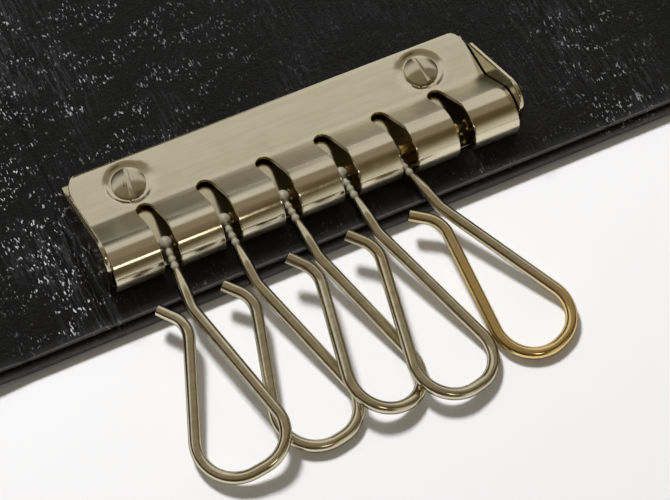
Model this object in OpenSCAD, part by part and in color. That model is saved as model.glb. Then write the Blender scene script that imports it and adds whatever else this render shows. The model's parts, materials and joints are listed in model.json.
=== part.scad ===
// Leather key case, lying open on its back, with a six-place key row and five wire key hooks.
// X runs along the key row, Y from the case's front edge to its rear edge, Z up.
// The origin is the middle of the centre panel's underside, on the surface the case lies on.
// All sizes are in millimetres and all angles in degrees.

/* [Case] */
// Width of the centre panel between its two fold lines
panel_w = 73; // [68:1:80]
// Length of the case from its front edge to its rear edge
case_l = 100; // [96:1:120]
// Thickness of the outer leather
leather_t = 1.2; // [1:0.1:1.4]
// Thickness of the stiffening board
board_t = 0.6; // [0.5:0.1:0.8]
// Thickness of the lining leather
lining_t = 0.8; // [0.6:0.1:1]
// Width of the outer leather's turned-in edge
hem_w = 5; // [4:0.5:7]
// How far the lining's edge lies behind the outer leather's edge
lining_inset = 1; // [0.8:0.1:1.5]
// Gap left between neighbouring panels at a fold
fold_gap = 0.1; // [0.1:0.05:0.3]

/* [Flaps] */
// Width of the left spine strip
left_spine_w = 12.4; // [12.4:0.2:14]
// Width of the right spine strip, which also clears the left flap
right_spine_w = 16.4; // [16.4:0.2:18]
// Width of the left flap
left_flap_w = 56; // [50:1:60]
// Width of the right flap
right_flap_w = 54; // [50:1:58]
// Radius of the flaps' outer corners in plan
flap_corner_r = 7; // [4:1:12]
// Slope at which the left flap rests on its snap stud
left_tilt = 4.4; // [4.4:0.2:6]
// Slope at which the right flap rests on its snap cap
right_tilt = 1.4; // [1.4:0.2:3]
// Distance of the snap stud from the left flap's fold line
stud_x = 28; // [26:0.5:30]
// Distance of the snap socket from the right flap's fold line
socket_x = 45; // [43:0.5:47]

/* [Key row] */
// Distance from the leather's front edge back to the row's axle
front_margin = 8.2; // [8:0.1:12]
// Centre of the row along X; it sits left of the panel's middle
row_x = -5.25; // [-5.25:0.25:0]
// Distance between neighbouring hook places
pitch = 8.7; // [8.5:0.1:9]
// Number of slots in the cover
slot_count = 6; // [6:1:6]
// Height of the axle above the lining
axle_h = 2.3; // [2.2:0.05:2.5]
// Radius of the axle
axle_r = 0.45; // [0.4:0.01:0.46]

/* [Cover plate] */
// Length of the cover plate along the row
cover_w = 59.4; // [58:0.2:60]
// Thickness of the cover's sheet metal
sheet_t = 0.5; // [0.4:0.05:0.5]
// Outer radius of the rolled tube that hides the axle
tube_r = 3.6; // [3.5:0.05:3.7]
// Height of the flat plate's top above the lining
plate_h = 1.8; // [1.7:0.05:1.9]
// Distance from the axle to the plate's rear edge
plate_rear = 15; // [14.5:0.1:16]
// Slope of the ramp between the plate and the tube
ramp_slope = 39; // [36:1:42]
// Radius of the hollow where the ramp leaves the plate
ramp_r = 2; // [1.5:0.1:2.5]
// Angle to which the tube's front curls under, counted from the rear
curl_end = 219; // [210:1:219]
// Radius of the plate's rear corners in plan
plate_corner_r = 2.5; // [2:0.1:3]
// Width of the slots
slot_w = 2.4; // [2.4:0.05:2.6]
// Distance from the axle to the slots' rear ends
slot_rear = 7; // [6.8:0.1:7.4]
// Radius of the rounded corners at the slots' open front ends
tongue_r = 0.7; // [0.4:0.1:0.8]

/* [Base plate] */
// Thickness of the base plate
base_t = 0.6; // [0.5:0.05:0.65]
// Distance from the axle to the base plate's front edge
base_front = 2.2; // [2:0.1:2.2]
// Distance from the axle to the base plate's rear edge
base_rear = 14.3; // [14:0.1:14.3]
// Thickness of the ears at the row's ends
ear_t = 0.7; // [0.6:0.05:0.8]
// Gap between the cover's ends and the ears
ear_gap = 0.15; // [0.15:0.05:0.3]
// Height at which the ear's slanted edge would meet its front edge
ear_peak = 9.6; // [9.2:0.1:10]
// Radius of the ear's rounded nose
ear_nose_r = 2.6; // [2:0.1:2.8]

/* [Screws] */
// Distance of each screw from the row's centre
screw_x = 22; // [21.5:0.1:22.5]
// Distance of the screws behind the axle
screw_y = 10.7; // [10.6:0.1:10.9]
// Radius of the domed screw head
screw_head_r = 2.35; // [2.1:0.05:2.5]
// Height of the screw head from its seat to the top of the dome
screw_head_h = 0.9; // [0.8:0.05:1]
// Radius of the screw shank
shank_r = 1; // [0.8:0.05:1]
// Depth of the dish that each screw head sits in
dish_h = 0.3; // [0.2:0.05:0.3]
// Angle of each screwdriver slot, left and right
slot_turn = [79, 95]; // [0:1:180]

/* [Hooks] */
// Diameter of the hook wire
wire_d = 1.65; // [1.5:0.05:1.65]
// Radius of the ball that turns on the axle
ball_r = 0.95; // [0.9:0.05:0.95]
// Radius of the bore through the ball and the sleeves
bore_r = 0.5; // [0.48:0.01:0.5]
// Outer radius of the brass sleeves between the balls
sleeve_r = 0.75; // [0.65:0.05:0.8]
// Radii of the beads on the hook's collar, from the ball outwards
bead_r = [0.5, 0.52, 0.55]; // [0.45:0.01:0.56]
// Distance between neighbouring beads
bead_pitch = 0.95; // [0.9:0.01:0.96]
// Distance from the axle at which the wire leaves the collar
wire_start = 4.1; // [4:0.1:4.4]

/* [Hidden] */

$fn = 48;

hem_t = leather_t + board_t;
case_t = hem_t + lining_t;
half_w = panel_w / 2;
half_l = case_l / 2;
axle_y = -half_l + front_margin;
axle_z = case_t + axle_h;
plate_z = case_t + plate_h;
cover_end = cover_w / 2;
ear_in = cover_end + ear_gap;
ear_out = ear_in + ear_t;
dish_floor = plate_z - dish_h;
wire_r = wire_d / 2;
above_all = 3 * axle_z;
left_fold = -half_w - left_spine_w;
right_fold = half_w + right_spine_w;

// The hooks' shared outline: across the hook, out from the axle, and the bend radius at each corner
stem_bend = [0, 9.8, 4.1];
right_bend = [6.5, 32.6, 4.8];
left_bend = [-8.3, 34.6, 5.2];
waist_bend = [-1.2, 11.6, 3.6];
hook_tip = [-4.2, 8.2];
// Distance from the axle at which the wire, drawn thin at the collar, has its full thickness
taper_end = 5.5;

// How each hook lies: head's shift along the axle, turn to the side, drop, roll,
// and what its hand-made loop adds in reach and in width on each side
hook_lie = [
    [0.4, -3.7, 4.6, 10, -0.2, 0.2],
    [0.1, 1.2, 6.85, -1.7, -0.2, -0.2],
    [0, 3.7, 5.45, -14.5, -0.6, -0.7],
    [-0.1, 4.7, 5.4, -9, 1, -0.2],
    [-1, 14.3, 6.7, 0.4, 0.7, -0.5]
];

// Small working gaps and fastener sizes
hole_gap = 0.1;
wide_gap = 0.15;
post_r = 1.6;
post_flange_r = 3.5;
post_flange_t = 0.4;
rivet_r = 0.95;
rivet_t = 0.35;
rivet_chamfer = 0.25;
neck_r = 0.38;
cone_h = 0.15;
cone_r = 0.43;
// Distance from the axle at which the collar ends and the wire's cone starts
collar_end = wire_start - cone_h;
lap = 0.03;
bend_thinning = 0.01;
// How far an arc stands past the line it meets, so that the two cross
crossing = 0.005;
// How far a cut reaches past the surface it cuts
over = 1;
board_margin = 1.5;
screw_tip = 1.7;
post_floor = 0.3;
dish_r = 3.4;
dish_run = 0.7;
dish_skirt = 0.3;
first_bead = 1.6;
// Ends of the two sleeves in the empty sixth slot, from the slot's centre; the bare axle shows between them
last_slot_gap = [0.1, 1.5];

// The ear's outline: how far it steps out in front, steps in at the rear, and its low tail
ear_front_step = 0.3;
ear_rear_step = 0.4;
ear_tail = [2.7, 2.3];
ear_tail_r = 1;

// Snap fastener sizes
snap_flange_r = 4.6;
snap_flange_t = 0.5;
stud_r = 1.7;
stud_neck_r = 1.45;
stud_crown_t = 0.8;
stud_h = 2;
stud_barrel_r = 1.2;
stud_bore_r = 0.85;
stud_rivet_r = 0.8;
rivet_head_r = 3;
rivet_head_t = 0.4;
socket_flange_r = 5;
socket_r = 1.95;
socket_barrel_r = 2.6;
socket_floor = 1.6;
cap_r = 6;
cap_h = 0.9;
cap_rim_h = 0.2;
cap_post_r = 1;
spring_z = 2.3;
spring_wire_r = 0.15;
spring_slot = 0.5;
spring_rise = 0.02;
spring_sweep = 300;

// Places along the row and along a bend
function slot_at(k) = row_x + pitch * (k - (slot_count + 1) / 2);
function ball_at(k) = slot_at(k) + hook_lie[k - 1][0];
function unit(v) = v / norm(v);
function turn_of(a, b) = atan2(a.x * b.y - a.y * b.x, a.x * b.x + a.y * b.y);
function flat_point(p) = [p.x, p.y];

// Where a corner of radius r between a and b starts, where it ends, and its centre
function corner_fit(a, p, b, r) =
    let (u = unit(a - p), w = unit(b - p), half = acos(u * w) / 2, run = r / tan(half))
    [p + u * run, p + w * run, p + unit(u + w) * r / sin(half)];

// A closed outline of [x, y, radius] corners, each one rounded by a true arc
module rounded_outline(corners) {
    n = len(corners);
    fits = [for (i = [0 : n - 1])
        let (a = flat_point(corners[(i + n - 1) % n]), p = flat_point(corners[i]),
             b = flat_point(corners[(i + 1) % n]), r = corners[i].z)
        r > 0 ? corner_fit(a, p, b, r) : [p, p, p]];
    polygon([for (fit = fits) each [fit[0], fit[1]]]);
    for (i = [0 : n - 1]) {
        if (corners[i].z > 0) translate(fits[i][2]) circle(corners[i].z);
    }
}

// A flat profile drawn in Y and Z, run along X from x0 to x1
module along_x(x0, x1) {
    translate([x0, 0, 0]) rotate([90, 0, 90]) linear_extrude(x1 - x0) children();
}

// A leather layer with rounded front and rear edges
module layer_section(y_half, z0, z1) {
    r = (z1 - z0) / 2;
    translate([-y_half + r, z0]) square([2 * (y_half - r), 2 * r]);
    for (side = [-1, 1]) translate([side * (y_half - r), z0 + r]) circle(r);
}

module layer_strip(x0, x1, y_half, z0, z1) {
    along_x(x0, x1) layer_section(y_half, z0, z1);
}

// A flap's layer from the fold at x = 0 to its outer edge, with rounded edges and plan corners
module flap_layer(w, y_half, z0, z1, corner_r) {
    r = (z1 - z0) / 2;
    core_y = y_half - corner_r;
    layer_strip(fold_gap, w - corner_r, y_half, z0, z1);
    translate([w - corner_r - lap, -core_y, z0]) cube([corner_r - r + lap, 2 * core_y, 2 * r]);
    translate([w - r, -core_y, z0 + r]) rotate([-90, 0, 0]) cylinder(h = 2 * core_y, r = r);
    for (side = [0, 1]) {
        mirror([0, side, 0]) translate([w - corner_r, core_y, 0]) rotate_extrude(angle = 90) {
            translate([0, z0]) square([corner_r - r, 2 * r]);
            translate([corner_r - r, z0 + r]) circle(r);
        }
    }
}

// The pocket inside the turned-in edges, where the stiffening board lies
module board_pocket(x0, x1) {
    translate([x0, -half_l + hem_w, leather_t]) cube([x1 - x0, case_l - 2 * hem_w, case_t]);
}

module board(x0, x1) {
    y = half_l - hem_w - hole_gap;
    translate([x0, -y, leather_t]) cube([x1 - x0, 2 * y, board_t]);
}

module left_flap_place() {
    translate([left_fold, 0, case_t]) rotate([0, left_tilt, 0])
        mirror([1, 0, 0]) translate([0, 0, -case_t]) children();
}

module right_flap_place() {
    translate([right_fold, 0, case_t]) rotate([0, -right_tilt, 0]) translate([0, 0, -case_t]) children();
}

module at_screws() {
    for (side = [-1, 1]) translate([row_x + side * screw_x, axle_y + screw_y, 0]) children();
}

// Leather, boards and linings
module outer_leather_back() {
    edge = half_w - fold_gap / 2;
    color("#1d1d1e") difference() {
        layer_strip(-edge, edge, half_l, 0, hem_t);
        board_pocket(-half_w - over, half_w + over);
    }
}

module stiffener_back() {
    edge = half_w - board_margin;
    color("#8a7a5c") difference() {
        board(-edge, edge);
        at_screws() cylinder(h = case_t, r = post_flange_r + hole_gap);
    }
}

module lining_back() {
    edge = half_w - fold_gap / 2;
    color("#232323") difference() {
        layer_strip(-edge, edge, half_l - lining_inset, hem_t, case_t);
        at_screws() cylinder(h = above_all, r = post_r + hole_gap);
    }
}

module left_spine_leather() {
    color("#1d1d1e") layer_strip(left_fold + fold_gap / 2, -half_w - fold_gap / 2, half_l, 0, hem_t);
}

module left_spine_lining() {
    color("#232323")
        layer_strip(left_fold + fold_gap / 2, -half_w - fold_gap / 2, half_l - lining_inset, hem_t, case_t);
}

module right_spine_leather() {
    color("#1d1d1e") layer_strip(half_w + fold_gap / 2, right_fold - fold_gap / 2, half_l, 0, hem_t);
}

module right_spine_lining() {
    color("#232323")
        layer_strip(half_w + fold_gap / 2, right_fold - fold_gap / 2, half_l - lining_inset, hem_t, case_t);
}

module flap_leather(w, hole_x, hole_r) {
    difference() {
        flap_layer(w, half_l, 0, hem_t, flap_corner_r);
        board_pocket(-over, w - hem_w);
        translate([hole_x, 0, -over]) cylinder(h = case_t + 2 * over, r = hole_r);
    }
}

module flap_board(w, hole_x, hole_r) {
    difference() {
        board(board_margin, w - hem_w - hole_gap);
        translate([hole_x, 0, -over]) cylinder(h = case_t + 2 * over, r = hole_r);
    }
}

module flap_lining(w, hole_x, hole_r) {
    difference() {
        flap_layer(w - lining_inset, half_l - lining_inset, hem_t, case_t, flap_corner_r - lining_inset);
        translate([hole_x, 0, -over]) cylinder(h = case_t + 2 * over, r = hole_r);
    }
}

module left_flap_leather() {
    color("#1d1d1e") left_flap_place() flap_leather(left_flap_w, stud_x, stud_barrel_r + hole_gap);
}

module left_flap_stiffener() {
    color("#8a7a5c") left_flap_place() flap_board(left_flap_w, stud_x, stud_rivet_r + hole_gap);
}

module left_flap_lining() {
    color("#232323") left_flap_place() flap_lining(left_flap_w, stud_x, stud_rivet_r + hole_gap);
}

module right_flap_leather() {
    color("#1d1d1e") right_flap_place() flap_leather(right_flap_w, socket_x, cap_post_r + hole_gap);
}

module right_flap_stiffener() {
    color("#8a7a5c") right_flap_place() flap_board(right_flap_w, socket_x, socket_barrel_r + hole_gap);
}

module right_flap_lining() {
    color("#232323") right_flap_place() flap_lining(right_flap_w, socket_x, socket_barrel_r + hole_gap);
}

// Snap fastener: the stud on the outside of the left flap, the socket on the inside of the right flap
module snap_stud() {
    neck_h = 0.6;
    lip_h = 0.3;
    color("#c9c2ac") left_flap_place() translate([stud_x, 0, 0]) difference() {
        union() {
            translate([0, 0, -snap_flange_t]) cylinder(h = snap_flange_t, r = snap_flange_r);
            translate([0, 0, -snap_flange_t]) cylinder(h = snap_flange_t + leather_t, r = stud_barrel_r);
            translate([0, 0, -snap_flange_t - neck_h]) cylinder(h = neck_h + lap, r = stud_neck_r);
            translate([0, 0, -stud_h + lip_h])
                cylinder(h = stud_h - lip_h - snap_flange_t - neck_h, r = stud_r);
            translate([0, 0, -stud_h]) cylinder(h = lip_h, r1 = stud_r - lip_h, r2 = stud_r);
        }
        translate([0, 0, -stud_h + 2 * lip_h]) cylinder(h = case_t + stud_h, r = stud_bore_r);
    }
}

module snap_stud_rivet() {
    shank = case_t + stud_h - stud_crown_t;
    color("#c9c2ac") left_flap_place() translate([stud_x, 0, case_t]) {
        cylinder(h = rivet_head_t, r1 = rivet_head_r, r2 = rivet_head_r - rivet_head_t);
        translate([0, 0, -shank]) cylinder(h = shank + lap, r = stud_rivet_r);
    }
}

module snap_socket() {
    color("#c9c2ac") right_flap_place() translate([socket_x, 0, 0]) difference() {
        union() {
            translate([0, 0, case_t]) cylinder(h = snap_flange_t, r = socket_flange_r);
            translate([0, 0, leather_t]) cylinder(h = case_t - leather_t + lap, r = socket_barrel_r);
        }
        translate([0, 0, socket_floor]) cylinder(h = case_t, r = socket_r);
        translate([0, 0, spring_z - spring_slot / 2])
            cylinder(h = spring_slot, r = socket_r + spring_slot / 2);
        cylinder(h = case_t, r = cap_post_r + hole_gap / 2);
    }
}

module snap_spring() {
    color("#b9b9b4") right_flap_place() translate([socket_x, 0, spring_z])
        rotate_extrude(angle = spring_sweep)
            translate([socket_r + spring_rise, 0]) circle(spring_wire_r, $fn = 24);
}

module snap_cap() {
    dome_h = cap_h - cap_rim_h;
    dome_r = (cap_r * cap_r + dome_h * dome_h) / (2 * dome_h);
    color("#c9c2ac") right_flap_place() translate([socket_x, 0, 0]) {
        rotate_extrude() intersection() {
            translate([0, dome_r - cap_h]) circle(dome_r, $fn = 720);
            translate([0, -cap_h]) square([cap_r, cap_h]);
        }
        translate([0, 0, -lap]) cylinder(h = socket_floor + lap, r = cap_post_r);
    }
}

// Key row: the rolled cover over the base plate, the axle and its fittings
// What the cover's section encloses, inset from its outer surface; foot lists the points that close it below
module cover_silhouette(inset, foot) {
    tangent = 90 - ramp_slope;
    r = tube_r - inset;
    hollow_r = ramp_r + inset;
    bend_r = 0.8;
    down = [cos(ramp_slope), -sin(ramp_slope)];
    top = [0, axle_z] + (r - crossing) * [cos(tangent), sin(tangent)];
    plate_top = plate_z - inset;
    foot_of_ramp = top + down * (top.y - plate_top) / sin(ramp_slope);
    run = hollow_r * tan(ramp_slope / 2);
    hollow = foot_of_ramp + [run, hollow_r];
    bend = [plate_rear - bend_r, plate_z - bend_r];
    difference() {
        union() {
            translate([0, axle_z]) circle(r);
            polygon(concat([
                [0, axle_z], top, foot_of_ramp - run * down, hollow, foot_of_ramp + [run, 0],
                [bend.x, plate_top], bend, [plate_rear - inset, bend.y]
            ], foot));
            translate(bend) circle(bend_r - inset + crossing);
        }
        translate(hollow) circle(hollow_r + crossing);
    }
}

module cover_profile() {
    foot_z = case_t + hole_gap;
    reach = 3 * tube_r;
    difference() {
        cover_silhouette(0, [[plate_rear, foot_z], [0, foot_z]]);
        cover_silhouette(sheet_t, [
            [plate_rear - sheet_t, -over], [0, -over], [reach * cos(curl_end), axle_z + reach * sin(curl_end)]
        ]);
    }
}

// Plan of the cover, with its rounded rear corners
module cover_plan() {
    front = -tube_r - over;
    rounded_outline([
        [-cover_end, front, 0], [cover_end, front, 0],
        [cover_end, plate_rear, plate_corner_r], [-cover_end, plate_rear, plate_corner_r]
    ]);
}

// What rounds the lower corner of a tongue; side is 1 where the tongue lies to the right
module tongue_corner(x, side) {
    lip_z = axle_z + tube_r * sin(curl_end) - hole_gap;
    translate([x, over - tube_r, lip_z]) rotate([90, 0, 0]) linear_extrude(tube_r) difference() {
        translate([side > 0 ? -lap : -tongue_r, -over]) square([tongue_r + lap, tongue_r + over]);
        translate([side * tongue_r, tongue_r]) circle(tongue_r);
    }
}

module slot_cut(x) {
    round_r = slot_w / 2;
    round_y = slot_rear - round_r;
    translate([x - round_r, -tube_r - over, 0]) cube([slot_w, round_y + tube_r + over, above_all]);
    translate([x, round_y, 0]) cylinder(h = above_all, r = round_r);
    for (side = [-1, 1]) tongue_corner(x + side * round_r, side);
}

module cover_plate() {
    under = plate_z - sheet_t - dish_h;
    color("#b9b096") difference() {
        union() {
            translate([row_x, axle_y, 0]) difference() {
                intersection() {
                    along_x(-cover_end, cover_end) cover_profile();
                    linear_extrude(above_all) cover_plan();
                }
                for (k = [1 : slot_count]) slot_cut(slot_at(k) - row_x);
                tongue_corner(-cover_end, 1);
                tongue_corner(cover_end, -1);
            }
            at_screws() translate([0, 0, under])
                cylinder(h = dish_h + lap, r1 = dish_r - dish_run + dish_skirt, r2 = dish_r + dish_skirt);
        }
        at_screws() {
            translate([0, 0, dish_floor]) cylinder(h = dish_h + lap, r1 = dish_r - dish_run, r2 = dish_r);
            cylinder(h = above_all, r = shank_r + wide_gap);
        }
    }
}

module ear_outline() {
    front = -base_front - ear_front_step;
    rounded_outline([
        [front, case_t, 0],
        [base_rear - ear_rear_step, case_t, 0],
        [base_rear - ear_tail.x, case_t + ear_tail.y, ear_tail_r],
        [front, case_t + ear_peak, ear_nose_r]
    ]);
}

module base_plate() {
    color("#a59c82") difference() {
        union() {
            translate([row_x - ear_out, axle_y - base_front, case_t])
                cube([2 * ear_out, base_front + base_rear, base_t]);
            for (side = [-1, 1]) {
                translate([row_x + side * (ear_in + ear_t / 2), axle_y, 0])
                    along_x(-ear_t / 2, ear_t / 2) ear_outline();
            }
        }
        translate([row_x - ear_out - over, axle_y, axle_z])
            rotate([0, 90, 0]) cylinder(h = 2 * (ear_out + over), r = bore_r);
        at_screws() cylinder(h = above_all, r = post_r + wide_gap);
    }
}

module mounting_screws() {
    dome_h = 0.6;
    dome_r = (screw_head_r * screw_head_r + dome_h * dome_h) / (2 * dome_h);
    groove = [2 * (screw_head_r + over), 0.55, 0.5];
    color("#b8b19c") for (i = [0, 1]) {
        translate([row_x + (2 * i - 1) * screw_x, axle_y + screw_y, dish_floor]) difference() {
            union() {
                intersection() {
                    cylinder(h = screw_head_h, r = screw_head_r);
                    translate([0, 0, screw_head_h - dome_r]) sphere(dome_r);
                }
                translate([0, 0, screw_tip - dish_floor])
                    cylinder(h = dish_floor - screw_tip + lap, r = shank_r);
            }
            rotate([0, 0, slot_turn[i]]) translate([-groove.x / 2, -groove.y / 2, screw_head_h - groove.z])
                cube([groove.x, groove.y, over]);
        }
    }
}

module screw_posts() {
    color("#b0a88f") at_screws() difference() {
        union() {
            translate([0, 0, leather_t]) cylinder(h = post_flange_t, r = post_flange_r);
            translate([0, 0, leather_t]) cylinder(h = plate_z - sheet_t - dish_h - leather_t, r = post_r);
        }
        translate([0, 0, leather_t + post_floor]) cylinder(h = plate_z, r = shank_r + hole_gap / 2);
    }
}

module axle() {
    color("#6e6a60") translate([row_x, axle_y, axle_z]) rotate([0, 90, 0]) {
        translate([0, 0, -ear_out - lap]) cylinder(h = 2 * (ear_out + lap), r = axle_r);
        for (side = [0, 1]) mirror([0, 0, side]) translate([0, 0, ear_out])
            cylinder(h = rivet_t, r1 = rivet_r, r2 = rivet_r - rivet_chamfer);
    }
}

// Brass sleeves that keep the hooks apart; the last place is empty and shows a sleeve's end
module spacer_sleeves() {
    side = ball_r + hole_gap;
    count = len(hook_lie);
    last = slot_at(slot_count);
    starts = concat(
        [row_x - ear_in + hole_gap],
        [for (k = [1 : count]) ball_at(k) + side],
        [last + last_slot_gap[1]]
    );
    ends = concat(
        [for (k = [1 : count]) ball_at(k) - side],
        [last + last_slot_gap[0]],
        [row_x + ear_in - hole_gap]
    );
    color("#b08a3c") for (i = [0 : len(starts) - 1]) {
        translate([starts[i], axle_y, axle_z]) rotate([0, 90, 0]) difference() {
            cylinder(h = ends[i] - starts[i], r = sleeve_r);
            translate([0, 0, -over]) cylinder(h = ends[i] - starts[i] + 2 * over, r = bore_r);
        }
    }
}

// Key hooks: a ball and beaded collar on the axle, and a bent wire loop
module hook_head_profile() {
    intersection() {
        union() {
            circle(ball_r);
            translate([-neck_r, 0]) square([2 * neck_r, wire_start]);
            for (i = [0 : 2]) translate([0, first_bead + i * bead_pitch]) circle(bead_r[i]);
        }
        translate([0, -2 * ball_r]) square([2 * ball_r, 2 * ball_r + collar_end]);
    }
}

module hook_head(k) {
    lie = hook_lie[k - 1];
    color("#a79e84") translate([ball_at(k), axle_y, axle_z]) difference() {
        rotate([0, 0, lie[1]]) rotate([90 + lie[2], 0, 0]) rotate_extrude() hook_head_profile();
        rotate([0, 90, 0]) translate([0, 0, -2 * ball_r]) cylinder(h = 4 * ball_r, r = bore_r);
    }
}

module straight_wire(a, b) {
    d = b - a;
    start = a - lap * unit(d);
    translate([start.x, start.y, 0]) rotate([0, 90, atan2(d.y, d.x)])
        cylinder(h = norm(d) + 2 * lap, r = wire_r);
}

module wire_bend(fit, r) {
    a = fit[0] - fit[2];
    sweep = turn_of(a, fit[1] - fit[2]);
    start = atan2(a.y, a.x) + min(sweep, 0);
    translate([fit[2].x, fit[2].y, 0]) rotate([0, 0, start])
        rotate_extrude(angle = abs(sweep)) translate([r, 0]) circle(wire_r - bend_thinning);
}

module hook_wire(k) {
    lie = hook_lie[k - 1];
    reach = lie[4];
    widen = lie[5];
    corners = [
        stem_bend,
        [right_bend.x + widen, right_bend.y + reach, right_bend.z],
        [left_bend.x - widen, left_bend.y + reach, left_bend.z],
        waist_bend
    ];
    path = concat(
        [[0, -taper_end]],
        [for (c = corners) [c.x, -c.y]],
        [[hook_tip.x, -hook_tip.y]]
    );
    fits = [for (i = [1 : len(corners)]) corner_fit(path[i - 1], path[i], path[i + 1], corners[i - 1].z)];
    stops = concat([path[0]], [for (fit = fits) each [fit[0], fit[1]]], [path[len(path) - 1]]);
    color(k == 5 ? "#a8894a" : "#b7b09a")
        translate([ball_at(k), axle_y, axle_z])
        rotate([0, 0, lie[1]])
        rotate([lie[2], 0, 0])
        rotate([0, -lie[3], 0]) {
            translate([0, -collar_end, 0]) rotate([90, 0, 0])
                cylinder(h = taper_end - collar_end, r1 = cone_r, r2 = wire_r - bend_thinning);
            for (i = [0 : 2 : len(stops) - 1]) straight_wire(stops[i], stops[i + 1]);
            for (i = [0 : len(fits) - 1]) wire_bend(fits[i], corners[i].z);
        }
}

module hook_head_1() { hook_head(1); }
module hook_head_2() { hook_head(2); }
module hook_head_3() { hook_head(3); }
module hook_head_4() { hook_head(4); }
module hook_head_5() { hook_head(5); }
module hook_wire_1() { hook_wire(1); }
module hook_wire_2() { hook_wire(2); }
module hook_wire_3() { hook_wire(3); }
module hook_wire_4() { hook_wire(4); }
module hook_wire_5() { hook_wire(5); }

outer_leather_back();
lining_back();
stiffener_back();
left_spine_leather();
left_spine_lining();
left_flap_leather();
left_flap_stiffener();
left_flap_lining();
snap_stud();
snap_stud_rivet();
right_spine_leather();
right_spine_lining();
right_flap_leather();
right_flap_stiffener();
right_flap_lining();
snap_socket();
snap_spring();
snap_cap();
base_plate();
cover_plate();
mounting_screws();
screw_posts();
axle();
spacer_sleeves();
hook_head_1();
hook_wire_1();
hook_head_2();
hook_wire_2();
hook_head_3();
hook_wire_3();
hook_head_4();
hook_wire_4();
hook_head_5();
hook_wire_5();
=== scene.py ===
"""Looks of a leather key case that lies open on a pale surface, with a six-place key row and five wire hooks.

The classes below build or dress one sub-assembly of the case each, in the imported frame: metres, X along the
key row, Y from the edge that the hooks hang over towards the rear, Z up. Lengths are written in millimetres
times MM.
"""
import json
import logging
import math
from collections.abc import Sequence
from dataclasses import dataclass, field
from enum import Enum

import bmesh
import bpy
from bmesh.types import BMEdge, BMesh, BMFace, BMVert
from bpy.types import Material, Node, NodeSocket, NodeTree, Object
from mathutils import Matrix, Vector

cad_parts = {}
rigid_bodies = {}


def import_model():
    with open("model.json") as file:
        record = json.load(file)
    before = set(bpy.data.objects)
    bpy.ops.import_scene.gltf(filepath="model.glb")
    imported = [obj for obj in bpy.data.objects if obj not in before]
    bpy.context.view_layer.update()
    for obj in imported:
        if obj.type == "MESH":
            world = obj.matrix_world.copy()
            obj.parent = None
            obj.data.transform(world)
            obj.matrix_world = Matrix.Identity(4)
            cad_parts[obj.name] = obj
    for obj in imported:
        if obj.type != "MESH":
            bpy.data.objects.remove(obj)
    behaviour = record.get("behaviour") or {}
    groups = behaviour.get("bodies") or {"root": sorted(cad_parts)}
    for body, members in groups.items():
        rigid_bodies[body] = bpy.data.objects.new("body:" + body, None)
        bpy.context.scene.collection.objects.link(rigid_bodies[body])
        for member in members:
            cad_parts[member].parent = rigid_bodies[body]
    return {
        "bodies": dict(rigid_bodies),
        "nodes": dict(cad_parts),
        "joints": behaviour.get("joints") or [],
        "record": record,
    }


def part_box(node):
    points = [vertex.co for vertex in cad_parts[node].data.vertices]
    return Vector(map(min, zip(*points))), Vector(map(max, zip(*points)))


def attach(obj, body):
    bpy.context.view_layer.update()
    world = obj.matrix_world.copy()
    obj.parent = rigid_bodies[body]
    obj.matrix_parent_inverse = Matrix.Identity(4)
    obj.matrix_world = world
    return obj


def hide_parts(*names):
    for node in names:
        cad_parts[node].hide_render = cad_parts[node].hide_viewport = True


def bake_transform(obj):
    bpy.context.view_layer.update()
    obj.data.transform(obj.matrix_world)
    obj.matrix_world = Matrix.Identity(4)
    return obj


LOG = logging.getLogger("key_case")
MM = 0.001
Colour = tuple[float, float, float]
Profile = list[tuple[float, Vector]]
NICKEL: Colour = (0.70, 0.645, 0.485)
NICKEL_DULL: Colour = (0.61, 0.55, 0.40)
HOOK_DULL: Colour = (0.56, 0.5, 0.35)
BRASS: Colour = (0.72, 0.5, 0.17)
MERGE = 0.001 * MM
WIDE_MERGE = 0.002 * MM
NO_AREA = 1e-12
BEVEL_STEPS = 3


class Layer(Enum):
    """The two leathers that every panel of the case is made of."""

    OUTER = "outer"
    LINING = "lining"


class Side(Enum):
    """The two sides on which a spine strip and a flap join the centre panel."""

    LEFT = "left"
    RIGHT = "right"


# Shader node helpers


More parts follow.
